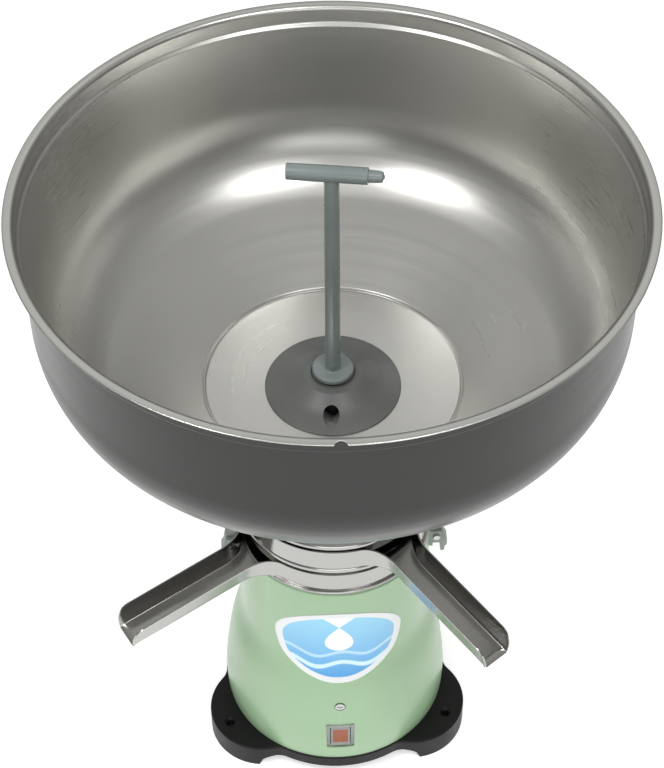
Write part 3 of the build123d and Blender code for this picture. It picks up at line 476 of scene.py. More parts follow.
@dataclass(frozen=True)
class MouldedFinish:
    """Moulded plastic or rubber: a fine grain, slight mottling of the colour, and scuffs.

    Fields:
        name: Material name.
        colour: Body colour, linear.
        roughness: Lowest and highest roughness of the scuffs.
        grain: Strength of the grain's bump.
        grain_scale: Grains per metre.
        mottle: Share by which the colour varies.
        coat: Clear gloss over the body.
        sheen: Specular level of the bare surface.
    """

    name: str
    colour: tuple[float, float, float]
    roughness: tuple[float, float]
    grain: float = 0.15
    grain_scale: float = 1400.0
    mottle: float = 0.12
    coat: float = 0.0
    sheen: float = 0.5

    def material(self) -> bpy.types.Material:
        """Write the finish out as nodes.

        Returns:
            A dielectric with grain as bump, scuffs as roughness and a mottled colour.
        """
        material, nodes, links = empty_material(self.name)

        output = nodes.new("ShaderNodeOutputMaterial")
        output.label = "Moulded surface"
        body = nodes.new("ShaderNodeBsdfPrincipled")
        body.label = "Plastic body"
        place = nodes.new("ShaderNodeTexCoord")
        place.label = "Place on the object"
        mottle = nodes.new("ShaderNodeTexNoise")
        mottle.label = "Flow of the plastic"
        shade = nodes.new("ShaderNodeValToRGB")
        shade.label = "Darker and lighter body"
        scuff = nodes.new("ShaderNodeTexNoise")
        scuff.label = "Scuffs"
        scuff_range = nodes.new("ShaderNodeMapRange")
        scuff_range.label = "Scuffs to roughness"
        grain = nodes.new("ShaderNodeTexNoise")
        grain.label = "Mould grain"
        bump = nodes.new("ShaderNodeBump")
        bump.label = "Grain as relief"

        colour_frame = nodes.new("NodeFrame")
        colour_frame.label = "Colour"
        mottle.parent = colour_frame
        shade.parent = colour_frame
        gloss_frame = nodes.new("NodeFrame")
        gloss_frame.label = "Gloss and grain"
        for node in (scuff, scuff_range, grain, bump):
            node.parent = gloss_frame
        lay_out([[place], [mottle, scuff, grain], [shade, scuff_range, bump], [body], [output]])

        mottle.inputs["Scale"].default_value = 22.0
        mottle.inputs["Detail"].default_value = 3.0
        shade.color_ramp.elements[0].position = 0.3
        shade.color_ramp.elements[1].position = 0.7
        shade.color_ramp.elements[0].color = (*(c * (1 - self.mottle) for c in self.colour), 1.0)
        shade.color_ramp.elements[1].color = (*(c * (1 + self.mottle) for c in self.colour), 1.0)
        scuff.inputs["Scale"].default_value = 60.0
        scuff.inputs["Detail"].default_value = 6.0
        scuff_range.inputs["From Min"].default_value = 0.35
        scuff_range.inputs["From Max"].default_value = 0.7
        scuff_range.inputs["To Min"].default_value = self.roughness[0]
        scuff_range.inputs["To Max"].default_value = self.roughness[1]
        grain.inputs["Scale"].default_value = self.grain_scale
        grain.inputs["Detail"].default_value = 1.0
        bump.inputs["Strength"].default_value = self.grain
        bump.inputs["Distance"].default_value = 0.0002
        body.inputs["Specular IOR Level"].default_value = self.sheen
        body.inputs["Coat Weight"].default_value = self.coat
        body.inputs["Coat Roughness"].default_value = 0.12

        links.new(place.outputs["Object"], mottle.inputs["Vector"])
        links.new(place.outputs["Object"], scuff.inputs["Vector"])
        links.new(place.outputs["Object"], grain.inputs["Vector"])
        links.new(mottle.outputs["Fac"], shade.inputs["Fac"])
        links.new(shade.outputs["Color"], body.inputs["Base Color"])
        links.new(scuff.outputs["Fac"], scuff_range.inputs["Value"])
        links.new(scuff_range.outputs[0], body.inputs["Roughness"])
        links.new(grain.outputs["Fac"], bump.inputs["Height"])
        links.new(bump.outputs["Normal"], body.inputs["Normal"])
        links.new(body.outputs[0], output.inputs["Surface"])
        return material


class Layers(Enum):
    """What a banded material is stacked from."""

    SHEETS = "Z"
    WIRES = "DIAGONAL"


@dataclass(frozen=True)
class BandedFinish:
    """Metal made of many thin layers, such as stacked iron sheets or wound wire.

    Fields:
        name: Material name.
        dark: Colour between the layers, linear.
        light: Colour of the layers, linear.
        layers: What is stacked, which sets the bands' direction.
        pitch: Layers per metre.
        roughness: Roughness all over.
    """

    name: str
    dark: tuple[float, float, float]
    light: tuple[float, float, float]
    layers: Layers
    pitch: float
    roughness: float

    def material(self) -> bpy.types.Material:
        """Write the finish out as nodes.

        Returns:
            A metal with even bands in colour and relief.
        """
        material, nodes, links = empty_material(self.name)

        output = nodes.new("ShaderNodeOutputMaterial")
        output.label = "Layered metal"
        metal = nodes.new("ShaderNodeBsdfPrincipled")
        metal.label = "Layer metal"
        place = nodes.new("ShaderNodeTexCoord")
        place.label = "Place on the object"
        bands = nodes.new("ShaderNodeTexWave")
        bands.label = "Layers"
        shade = nodes.new("ShaderNodeValToRGB")
        shade.label = "Gap and layer"
        bump = nodes.new("ShaderNodeBump")
        bump.label = "Layers as relief"
        band_frame = nodes.new("NodeFrame")
        band_frame.label = "Layers"
        for node in (bands, shade, bump):
            node.parent = band_frame
        lay_out([[place], [bands], [shade, bump], [metal], [output]])

        bands.bands_direction = self.layers.value
        bands.inputs["Scale"].default_value = self.pitch * 2 * math.pi / 20
        bands.inputs["Distortion"].default_value = 0.4
        bands.inputs["Detail"].default_value = 1.0
        shade.color_ramp.elements[0].color = (*self.dark, 1.0)
        shade.color_ramp.elements[1].color = (*self.light, 1.0)
        shade.color_ramp.elements[1].position = 0.45
        bump.inputs["Strength"].default_value = 0.5
        bump.inputs["Distance"].default_value = 0.0003
        metal.inputs["Metallic"].default_value = 0.8
        metal.inputs["Roughness"].default_value = self.roughness

        links.new(place.outputs["Object"], bands.inputs["Vector"])
        links.new(bands.outputs["Fac"], shade.inputs["Fac"])
        links.new(bands.outputs["Fac"], bump.inputs["Height"])
        links.new(shade.outputs["Color"], metal.inputs["Base Color"])
        links.new(bump.outputs["Normal"], metal.inputs["Normal"])
        links.new(metal.outputs[0], output.inputs["Surface"])
        return material


@dataclass(frozen=True)
class TintedFinish:
    """Tinted see-through plastic, as on a lit rocker switch.

    Fields:
        name: Material name.
        colour: Tint, linear.
        clearness: Share of light let through.
        roughness: Lowest and highest roughness.
    """

    name: str
    colour: tuple[float, float, float]
    clearness: float
    roughness: tuple[float, float]

    def material(self) -> bpy.types.Material:
        """Write the finish out as nodes.

        Returns:
            A glossy tinted plastic with faint flow marks.
        """
        material, nodes, links = empty_material(self.name)

        output = nodes.new("ShaderNodeOutputMaterial")
        output.label = "Tinted surface"
        body = nodes.new("ShaderNodeBsdfPrincipled")
        body.label = "Tinted plastic"
        place = nodes.new("ShaderNodeTexCoord")
        place.label = "Place on the object"
        flow = nodes.new("ShaderNodeTexNoise")
        flow.label = "Flow marks"
        flow_range = nodes.new("ShaderNodeMapRange")
        flow_range.label = "Flow marks to roughness"
        shade = nodes.new("ShaderNodeValToRGB")
        shade.label = "Depth of tint"
        flow_frame = nodes.new("NodeFrame")
        flow_frame.label = "Flow of the plastic"
        for node in (flow, flow_range, shade):
            node.parent = flow_frame
        lay_out([[place], [flow], [shade, flow_range], [body], [output]])

        flow.inputs["Scale"].default_value = 180.0
        flow.inputs["Detail"].default_value = 2.0
        flow_range.inputs["To Min"].default_value = self.roughness[0]
        flow_range.inputs["To Max"].default_value = self.roughness[1]
        shade.color_ramp.elements[0].color = (*(c * 0.8 for c in self.colour), 1.0)
        shade.color_ramp.elements[1].color = (*(c * 1.15 for c in self.colour), 1.0)
        body.inputs["Transmission Weight"].default_value = self.clearness

        links.new(place.outputs["Object"], flow.inputs["Vector"])
        links.new(flow.outputs["Fac"], flow_range.inputs["Value"])
        links.new(flow.outputs["Fac"], shade.inputs["Fac"])
        links.new(shade.outputs["Color"], body.inputs["Base Color"])
        links.new(flow_range.outputs[0], body.inputs["Roughness"])
        links.new(body.outputs[0], output.inputs["Surface"])
        return material


@dataclass(frozen=True)
class BadgeFinish:
    """Printed badge: white border, a blue field fading upwards, two pale waves and a white drop.

    Fields:
        name: Material name.
        border: Share of the badge, from its centre outwards, that the blue field covers.
    """

    name: str
    border: float = 0.88

    def material(self) -> bpy.types.Material:
        """Write the print out as nodes.

        The waves are the lines v = a + b sin(k u). The drop is where x x < (1 - y y) ((1 - y) / 2), with
        its point at y = 1. The same holds past the point, where it draws a flare up to the border.

        Returns:
            A glossy print that follows the badge's own map.
        """
        material, nodes, links = empty_material(self.name)

        output = nodes.new("ShaderNodeOutputMaterial")
        output.label = "Printed badge"
        print_layer = nodes.new("ShaderNodeBsdfPrincipled")
        print_layer.label = "Print under a clear film"
        place = nodes.new("ShaderNodeUVMap")
        place.label = "Place on the badge"
        spread = nodes.new("ShaderNodeSeparateXYZ")
        spread.label = "Across and up"
        edge = nodes.new("ShaderNodeAttribute")
        edge.label = "From centre to edge"
        fade = nodes.new("ShaderNodeValToRGB")
        fade.label = "Field fading upwards"

        wave_angle = nodes.new("ShaderNodeMath")
        wave_angle.label = "Wave length"
        wave = nodes.new("ShaderNodeMath")
        wave.label = "Wave"
        wave_height = nodes.new("ShaderNodeMath")
        wave_height.label = "Height over the wave"
        wave_bands = nodes.new("ShaderNodeValToRGB")
        wave_bands.label = "Two pale bands"
        with_waves = nodes.new("ShaderNodeMix")
        with_waves.label = "Waves on the field"

        drop_place = nodes.new("ShaderNodeMapping")
        drop_place.label = "Place of the drop"
        drop_spread = nodes.new("ShaderNodeSeparateXYZ")
        drop_spread.label = "Across and up the drop"
        across = nodes.new("ShaderNodeMath")
        across.label = "x x"
        squared = nodes.new("ShaderNodeMath")
        squared.label = "y y"
        round_part = nodes.new("ShaderNodeMath")
        round_part.label = "1 - y y"
        taper = nodes.new("ShaderNodeMath")
        taper.label = "(1 - y) / 2"
        body = nodes.new("ShaderNodeMath")
        body.label = "Half width, squared"
        inside = nodes.new("ShaderNodeMath")
        inside.label = "Inside the drop"
        with_drop = nodes.new("ShaderNodeMix")
        with_drop.label = "Drop on the field"

        border_mask = nodes.new("ShaderNodeValToRGB")
        border_mask.label = "Blue line and white border"
        with_border = nodes.new("ShaderNodeMix")
        with_border.label = "Border round the field"

        wave_frame = nodes.new("NodeFrame")
        wave_frame.label = "Waves"
        for node in (wave_angle, wave, wave_height, wave_bands, with_waves):
            node.parent = wave_frame
        drop_frame = nodes.new("NodeFrame")
        drop_frame.label = "Drop"
        for node in (drop_place, drop_spread, across, squared, round_part, taper, body, inside, with_drop):
            node.parent = drop_frame
        border_frame = nodes.new("NodeFrame")
        border_frame.label = "Border"
        for node in (edge, border_mask, with_border):
            node.parent = border_frame
        lay_out([[place, edge], [spread, drop_place], [wave_angle, drop_spread], [wave, across, squared],
                 [wave_height, round_part, taper], [wave_bands, body], [fade, inside], [with_waves],
                 [with_drop], [border_mask, with_border], [print_layer], [output]])

        place.uv_map = "badge"
        edge.attribute_name = "edge"
        fade.color_ramp.elements[0].color = (0.02, 0.3, 0.72, 1.0)
        fade.color_ramp.elements[1].color = (0.35, 0.75, 0.93, 1.0)
        wave_angle.operation = "MULTIPLY"
        wave_angle.inputs[1].default_value = 15.0
        wave.operation = "SINE"
        wave_height.operation = "MULTIPLY_ADD"
        wave_height.inputs[1].default_value = -0.035
        wave_bands.color_ramp.interpolation = "EASE"
        bands = wave_bands.color_ramp
        bands.elements[0].position = 0.2
        bands.elements[0].color = (0.0, 0.0, 0.0, 1.0)
        bands.elements[1].position = 0.215
        bands.elements[1].color = (1.0, 1.0, 1.0, 1.0)
        steps = ((0.25, 1.0), (0.265, 0.0), (0.34, 0.0), (0.355, 0.6), (0.38, 0.6), (0.395, 0.0))
        for position, value in steps:
            bands.elements.new(position).color = (value, value, value, 1.0)
        with_waves.data_type = "RGBA"
        with_waves.inputs["B"].default_value = (0.62, 0.86, 0.95, 1.0)

        drop_place.inputs["Location"].default_value = (-3.4, -3.8, 0.0)
        drop_place.inputs["Scale"].default_value = (6.8, 6.6, 1.0)
        across.operation = "MULTIPLY"
        squared.operation = "MULTIPLY"
        round_part.operation = "SUBTRACT"
        round_part.inputs[0].default_value = 1.0
        taper.operation = "MULTIPLY_ADD"
        taper.inputs[1].default_value = -0.5
        taper.inputs[2].default_value = 0.5
        body.operation = "MULTIPLY"
        inside.operation = "GREATER_THAN"
        with_drop.data_type = "RGBA"
        with_drop.inputs["B"].default_value = (0.9, 0.93, 0.94, 1.0)

        rim = border_mask.color_ramp
        rim.elements[0].position = self.border
        rim.elements[0].color = (0.0, 0.0, 0.0, 1.0)
        rim.elements[1].position = self.border + 0.012
        rim.elements[1].color = (1.0, 1.0, 1.0, 1.0)
        with_border.data_type = "RGBA"
        with_border.inputs["B"].default_value = (0.8, 0.83, 0.84, 1.0)
        print_layer.inputs["Roughness"].default_value = 0.35
        print_layer.inputs["Coat Weight"].default_value = 0.6
        print_layer.inputs["Coat Roughness"].default_value = 0.1

        links.new(place.outputs[0], spread.inputs[0])
        links.new(spread.outputs["Y"], fade.inputs["Fac"])
        links.new(spread.outputs["X"], wave_angle.inputs[0])
        links.new(wave_angle.outputs[0], wave.inputs[0])
        links.new(wave.outputs[0], wave_height.inputs[0])
        links.new(spread.outputs["Y"], wave_height.inputs[2])
        links.new(wave_height.outputs[0], wave_bands.inputs["Fac"])
        links.new(wave_bands.outputs["Color"], with_waves.inputs["Factor"])
        links.new(fade.outputs["Color"], with_waves.inputs["A"])
        links.new(place.outputs[0], drop_place.inputs["Vector"])
        links.new(drop_place.outputs[0], drop_spread.inputs[0])
        links.new(drop_spread.outputs["X"], across.inputs[0])
        links.new(drop_spread.outputs["X"], across.inputs[1])
        links.new(drop_spread.outputs["Y"], squared.inputs[0])
        links.new(drop_spread.outputs["Y"], squared.inputs[1])
        links.new(squared.outputs[0], round_part.inputs[1])
        links.new(drop_spread.outputs["Y"], taper.inputs[0])
        links.new(round_part.outputs[0], body.inputs[0])
        links.new(taper.outputs[0], body.inputs[1])
        links.new(body.outputs[0], inside.inputs[0])
        links.new(across.outputs[0], inside.inputs[1])
        links.new(with_waves.outputs["Result"], with_drop.inputs["A"])
        links.new(inside.outputs[0], with_drop.inputs["Factor"])
        links.new(edge.outputs["Fac"], border_mask.inputs["Fac"])
        links.new(with_drop.outputs["Result"], with_border.inputs["A"])
        links.new(border_mask.outputs["Color"], with_border.inputs["Factor"])
        links.new(with_border.outputs["Result"], print_layer.inputs["Base Color"])
        links.new(print_layer.outputs[0], output.inputs["Surface"])
        return material


STEEL = (0.55, 0.545, 0.52)
FINISHES = {
    "satin_steel": MetalFinish("satin_stainless", STEEL, (0.27, 0.33), lines=260.0, depth=0.0, cloud=9.0),
    # Painted shade: a much darker copy of the satin steel for the bowl's outside, with a painted reflection
    # brightening it between heights 0.345 and 0.405 m.
    "satin_steel_painted_shade": MetalFinish(
        "satin_stainless_painted_shade",
        (0.05, 0.05, 0.049),
        (0.3, 0.36),
        lines=260.0,
        depth=0.0,
        painted_reflection_colour=(0.4, 0.4, 0.39),
        foot=(0.345, 0.405),
    ),
    "polished_steel": MetalFinish(
        "polished_stainless", (0.43, 0.425, 0.41), (0.14, 0.2), Lay.HEIGHT, 250.0, 0.0
    ),
    "machined_steel": MetalFinish(
        "machined_steel", (0.5, 0.5, 0.49), (0.24, 0.34), lines=1600.0, depth=0.12
    ),
    "steel_fastener": MetalFinish("zinc_screws", (0.55, 0.56, 0.55), (0.28, 0.4), depth=0.08, cloud=40.0),
    "drum_aluminium": MetalFinish(
        "turned_aluminium", (0.75, 0.75, 0.74), (0.28, 0.38), lines=1500.0, depth=0.12
    ),
    "cast_aluminium": MetalFinish(
        "cast_aluminium", (0.5, 0.5, 0.5), (0.45, 0.6), lines=500.0, depth=0.5, cloud=90.0
    ),
    "brass_parts": MetalFinish("brass", (0.72, 0.5, 0.2), (0.25, 0.4), Lay.HEIGHT, 900.0, 0.08, 40.0),
    "green_enamel": MouldedFinish(
        "mint_green_enamel", (0.33, 0.5, 0.305), (0.3, 0.38), 0.03, 500.0, 0.02, 0.25
    ),
    "black_plastic": MouldedFinish(
        "black_moulded_plastic", (0.006, 0.006, 0.006), (0.42, 0.52), 0.05, sheen=0.25
    ),
    "grey_plastic": MouldedFinish("grey_moulded_plastic", (0.27, 0.3, 0.27), (0.35, 0.5), 0.15),
    "white_plastic": MouldedFinish(
        "white_moulded_plastic", (0.75, 0.75, 0.72), (0.35, 0.5), 0.1, mottle=0.03
    ),
    "dark_grey_plastic": MouldedFinish("dark_grey_hub_plastic", (0.12, 0.125, 0.12), (0.36, 0.48), 0.12),
    "blue_grey_plastic": MouldedFinish("blue_grey_tap_plastic", (0.205, 0.243, 0.238), (0.26, 0.36), 0.06),
    "black_rubber": MouldedFinish("black_rubber", (0.02, 0.02, 0.02), (0.6, 0.8), 0.4),
    "carbon": MouldedFinish("carbon", (0.015, 0.015, 0.016), (0.45, 0.6), 0.5, 2500.0),
    "lamination": BandedFinish(
        "stacked_iron", (0.05, 0.05, 0.05), (0.3, 0.3, 0.29), Layers.SHEETS, 1500.0, 0.45
    ),
    "copper_wire": BandedFinish(
        "copper_wire", (0.12, 0.03, 0.01), (0.65, 0.24, 0.1), Layers.WIRES, 1400.0, 0.35
    ),
    "rocker_plastic": TintedFinish("clear_grey_rocker", (0.42, 0.42, 0.4), 0.35, (0.1, 0.2)),
    "lens": TintedFinish("red_brown_lens", (0.42, 0.12, 0.05), 0.25, (0.12, 0.22)),
    "badge": BadgeFinish("printed_badge"),
}


@dataclass
class FinishShelf:
    """The materials, each made once and kept by the record's slot name."""

    made: dict[str, bpy.types.Material] = field(default_factory=dict)

    def material(self, slot: str) -> bpy.types.Material:
        """The material for a slot, made when first asked for."""
        if slot not in self.made:
            self.made[slot] = FINISHES[slot].material()
        return self.made[slot]


@dataclass
class SubAssembly:
    """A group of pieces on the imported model, with the finishes that they take.

    Fields:
        shelf: The finishes.
    """

    frame: dict
    shelf: FinishShelf

    def dress(self, piece: bpy.types.Object, slot: str) -> bpy.types.Object:
        """Give a piece one finish all over."""
        piece.data.materials.clear()
        piece.data.materials.append(self.shelf.material(slot))
        return piece

    def stand_for(self, piece: bpy.types.Object, node: str, slot: str) -> bpy.types.Object:
        """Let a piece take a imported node's place, on the node's body, in one finish.

        Args:
            piece: The detailed piece.
            node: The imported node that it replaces.
            slot: The record's material slot.

        Returns:
            The piece.
        """
        self.dress(piece, slot)
        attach(piece, self.frame["nodes"][node]["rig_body"])
        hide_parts(node)
        LOG.info("%s stands for %s, %d faces", piece.name, node, len(piece.data.polygons))
        return piece

    def keep(self, node: str) -> None:
        """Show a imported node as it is, in the finish of its own slot."""
        piece = self.frame["nodes"][node]
        slot = piece.data.materials[0].name
        self.dress(piece, slot)
        LOG.info("%s keeps its packed shape in %s", node, slot)


# ---- Milk bowl ----


@dataclass
class MilkBowl(SubAssembly):
    """The deep pressed bowl: flat rim, stepped band, straight wall, large arc, cone and dished floor."""

    rim_r: float = 187.0
    rim_z: float = 482.0
    flange_turn: float = 3.2
    band_r: float = 180.2
    band_z: float = 469.0
    wall_r: float = 177.9
    arc_r: float = 66.6
    arc_z: float = 415.4
    ring_r: float = 81.8
    ring_z: float = 330.8
    hub_r: float = 42.9
    hub_z: float = 325.3
    hole_r: float = 34.0
    sheet: float = 1.0
    hem: float = 1.6
    notch_r: float = 3.4
    notch_azimuth: float = -1.4
    segments: int = 288
    rim_face: float = 0.5
    outside_lean: float = 0.05

    def inner_line(self) -> np.ndarray:
        """The bowl's inside from the rim's edge to the hole in the floor.

        The large arc starts at the wall's foot, level, and ends where the cone to the stamped ring
        touches it.
        """
        centre = np.array([self.wall_r - self.arc_r, self.arc_z])
        away = centre - (self.ring_r, self.ring_z)
        slope = math.atan2(away[1], away[0]) - math.asin(self.arc_r / np.linalg.norm(away))
        angles = np.linspace(0.0, slope - math.pi / 2, 40)
        arc = centre + self.arc_r * np.column_stack([np.cos(angles), np.sin(angles)])
        top = rounded_line([
            (self.rim_r, self.rim_z - self.hem / 2),
            (self.rim_r, self.rim_z, self.hem / 2 - 0.05),
            (self.band_r, self.rim_z, self.flange_turn),
            (self.band_r, self.band_z + 1.2, 1.4),
            (self.wall_r, self.band_z - 0.4, 1.4),
            (self.wall_r, self.arc_z),
        ])
        floor = rounded_line([
            tuple(arc[-1]),
            (self.ring_r, self.ring_z, 1.2),
            (self.ring_r - 1.2, self.ring_z - 1.5, 0.5),
            (self.ring_r - 2.6, self.ring_z - 1.1, 0.6),
            (self.hub_r, self.hub_z),
            (self.hole_r, self.hub_z),
        ])
        return np.vstack([top[:-1], arc, floor[1:]])

    def build(self) -> None:
        """Turn the sheet's section about the axis and press the half-round notch into the rim."""
        line = self.inner_line()
        depth = np.where(line[:, 0] > self.band_r + self.flange_turn, self.hem / 2, self.sheet)
        under = offset_line(line, -depth)
        under[0] = line[0]
        profile = np.vstack([line, under[:0:-1]])
        even = np.linspace(0.0, 2 * math.pi, self.segments, endpoint=False) - math.pi / 2
        reach = 1.6 * self.notch_r / self.rim_r
        turned = (even + math.pi / 2 + math.pi) % (2 * math.pi) - math.pi
        fine = np.linspace(-reach, reach, 25)
        from_front = np.sort(np.concatenate([turned[np.abs(turned) > reach], fine]))
        angles = from_front - math.pi / 2 + math.radians(self.notch_azimuth)
        radius = profile[:, :1] + 0 * angles
        away = self.rim_r * np.abs(from_front)
        bite = np.sqrt(np.maximum(self.notch_r**2 - away**2, 0.0))
        limit = self.rim_r - bite
        on_rim = profile[:, :1] > self.band_r + self.flange_turn
        radius = np.where(on_rim, np.minimum(radius, limit), radius)
        points = turned_points(radius, profile[:, 1:], angles)
        bowl = grid_piece("milk_bowl_pressed", points, True, True)
        self.stand_for(smoothed(bowl, 50.0), "milk_bowl", "satin_steel")
        # The outside faces take the copy of the steel with painted shade.
        self.paint_outside_shade(bowl)

    def paint_outside_shade(self, bowl: bpy.types.Object) -> None:
        """Give the bowl's outside faces the darker copy of the steel, whose dark colour is painted shade.

        A face is outside where it lies below the rim and its normal's outward part is more than its
        upward part.

        Args:
            bowl: The pressed bowl.
        """
        bowl.data.materials.append(self.shelf.material("satin_steel_painted_shade"))
        count = len(bowl.data.polygons)
        centres = np.zeros(3 * count)
        normals = np.zeros(3 * count)
        bowl.data.polygons.foreach_get("center", centres)
        bowl.data.polygons.foreach_get("normal", normals)
        centres = centres.reshape(-1, 3)
        normals = normals.reshape(-1, 3)
        outward = np.sum(centres[:, :2] * normals[:, :2], axis=1) / np.linalg.norm(centres[:, :2], axis=1)
        below_rim = centres[:, 2] < (self.rim_z - self.rim_face) * MM
        outside = below_rim & (outward - normals[:, 2] > self.outside_lean)
        # Outside faces get the second material, the painted shade.
        bowl.data.polygons.foreach_set("material_index", outside.astype(np.int32))
        bowl.data.update()


# ---- Tap ----


@dataclass
class Tap(SubAssembly):
    """The grey hub in the bowl's floor and the plug with its T-handle."""

    seat_r: float = 42.7
    seat_z: float = 326.2
    top_r: float = 17.0
    top_z: float = 337.4
    well_r: float = 13.6
    bore_r: float = 8.06
    barrel_r: float = 33.0
    bottom_z: float = 303.0
    floor_z: float = 325.3
    boss_r: float = 13.0
    boss_z: float = 311.0
    shoulder_z: float = 316.0
    crown_r: float = 30.0
    crown_z: float = 330.0
    bore_port_r: float = 4.6
    port_r: float = 4.9
    port_z: float = 326.0
    mouth: Corner = (-29.1, 330.6)
    port_dip: float = 33.0
    groove_r: float = 6.2
    groove_z: float = 333.3
    seat_turn: float = -4.9
    collar_r: float = 12.9
    collar_low: float = 338.6
    collar_high: float = 342.2
    plug_r: float = 8.0
    plug_low: float = 302.0
    rod_foot_r: float = 4.8
    rod_top_r: float = 4.4
    bar_z: float = 499.7
    bar_r: float = 5.0
    bar_left: float = -25.9
    bar_right: float = 20.7
    stub_r: float = 3.6
    stub_end: float = 29.4
    bar_turn: float = -8.6
    ridge: float = 0.22
    ridge_width: float = 0.36
    ridge_top: float = 0.72

    def seat(self) -> bpy.types.Object:
        """The hub: a low cone with a well for the collar, an outlet port and its half-round groove."""
        outline = rounded_line([
            (self.bore_r, self.bottom_z),
            (self.boss_r, self.bottom_z, 0.6),
            (self.boss_r, self.boss_z, 1.5),
            (self.barrel_r, self.shoulder_z, 0.5),
            (self.barrel_r, self.floor_z - 0.2),
            (self.seat_r, self.floor_z - 0.2),
            (self.seat_r, self.seat_z, 0.7),
            (self.crown_r, self.crown_z, 30.0),
            (self.top_r + 1.5, self.top_z - 0.3, 2.6),
            (self.well_r, self.top_z, 0.4),
            (self.well_r, self.top_z - 1.0, 0.3),
            (self.bore_r, self.top_z - 1.0, 0.3),
        ], closed=True)
        seat = spun("tap_seat_hub", outline, segments=160)
        dip = math.radians(self.port_dip)
        inward = np.array([0.0, math.cos(dip), -math.sin(dip)])
        mouth = np.array([0.0, *self.mouth])
        port = rounded_line([(0, -8.0), (self.port_r, -8.0), (self.port_r, 24.0), (0, 24.0)])
        port = spun("port", port, along(tuple(mouth), tuple(inward)), 48, False)
        groove = rounded_line([(0, 0), (self.groove_r, 0), (self.groove_r, 26.0), (0, 26.0)])
        start = (0, self.mouth[0] - 0.6, self.groove_z)
        groove = spun("groove", groove, along(start, (0, -1, 0)), 48, False)
        combined(seat, [port, groove], "DIFFERENCE")
        seat.data.transform(Matrix.Rotation(math.radians(self.seat_turn), 4, "Z"))
        return smoothed(seat)

    def handle(self) -> bpy.types.Object:
        """Plug, collar, rod and cross bar.

        The rod's section is a circle with a parting ridge at the front and the back: its radius is
        r (1 + h exp(-|a| / w)) at an angle a from the ridge, with the ridge's height share h and its
        width w in radians, and the ridge fades out near the top.
        """
        foot = rounded_line([
            (0, self.plug_low),
            (self.plug_r, self.plug_low, 0.8),
            (self.plug_r, self.collar_low),
            (self.collar_r, self.collar_low, 1.0),
            (self.collar_r, self.collar_high, 1.3),
            (self.rod_foot_r, self.collar_high, 1.2),
            (self.rod_foot_r, self.collar_high + 2.0),
        ])
        heights = np.linspace(self.collar_high + 3.0, self.bar_z, 60)
        share = (heights - heights[0]) / (heights[-1] - heights[0])
        radii = self.rod_foot_r + (self.rod_top_r - self.rod_foot_r) * share
        profile = np.vstack([foot, np.column_stack([radii, heights]), [(0.0, self.bar_z)]])
        angles = np.linspace(0.0, 2 * math.pi, 96, endpoint=False)
        from_front = np.abs((angles + math.pi / 2 + math.pi) % (2 * math.pi) - math.pi)
        from_seam = np.minimum(from_front, math.pi - from_front)
        length = (profile[:, 1] - self.collar_high) / (self.bar_z - self.collar_high)
        fade = np.clip((self.ridge_top - length) / 0.06, 0.0, 1.0) * np.clip(length / 0.02, 0.0, 1.0)
        radius = profile[:, :1] * (1 + self.ridge * fade[:, None] * np.exp(-from_seam / self.ridge_width))
        points = turned_points(radius, profile[:, 1:], angles)
        stem = grid_piece("tap_handle_moulded", points, False, True)
        bar = rounded_line([
            (0, self.bar_left),
            (self.bar_r - 0.1, self.bar_left, 0.5),
            (self.bar_r, 0.0),
            (self.bar_r, self.bar_right, 0.4),
            (self.stub_r + 0.2, self.bar_right, 0.3),
            (self.stub_r - 0.3, self.stub_end, 1.3),
            (1.2, self.stub_end, 0.2),
            (1.1, self.stub_end + 0.8, 0.3),
            (0, self.stub_end + 0.8),
        ])
        turn = math.radians(self.bar_turn)
        placing = along((0, 0, self.bar_z), (math.cos(turn), math.sin(turn), 0))
        bar_piece = spun("bar", bar, placing, 64, False)
        depth = self.port_z - self.plug_low
        bore = rounded_line([(0, -5.0), (self.bore_port_r, -5.0), (self.bore_port_r, depth), (0, depth)])
        bore_piece = spun("bore", bore, along((0, 0, self.plug_low), (0, 0, 1)), 48, False)
        side = rounded_line([(0, 0), (self.port_r, 0), (self.port_r, 20.0), (0, 20.0)])
        side_piece = spun("side_port", side, along((0, 0, self.port_z), (-1, 0, 0)), 48, False)
        combined(stem, [bar_piece], "UNION")
        return smoothed(combined(stem, [bore_piece, side_piece], "DIFFERENCE"), 24.0)

    def build(self) -> None:
        """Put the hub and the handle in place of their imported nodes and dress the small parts."""
        self.stand_for(self.seat(), "tap_seat", "dark_grey_plastic")
        self.stand_for(self.handle(), "tap_handle", "blue_grey_plastic")
        for node in ("tap_nut", "tap_seal", "plug_rings"):
            self.keep(node)


# ---- Receivers ----


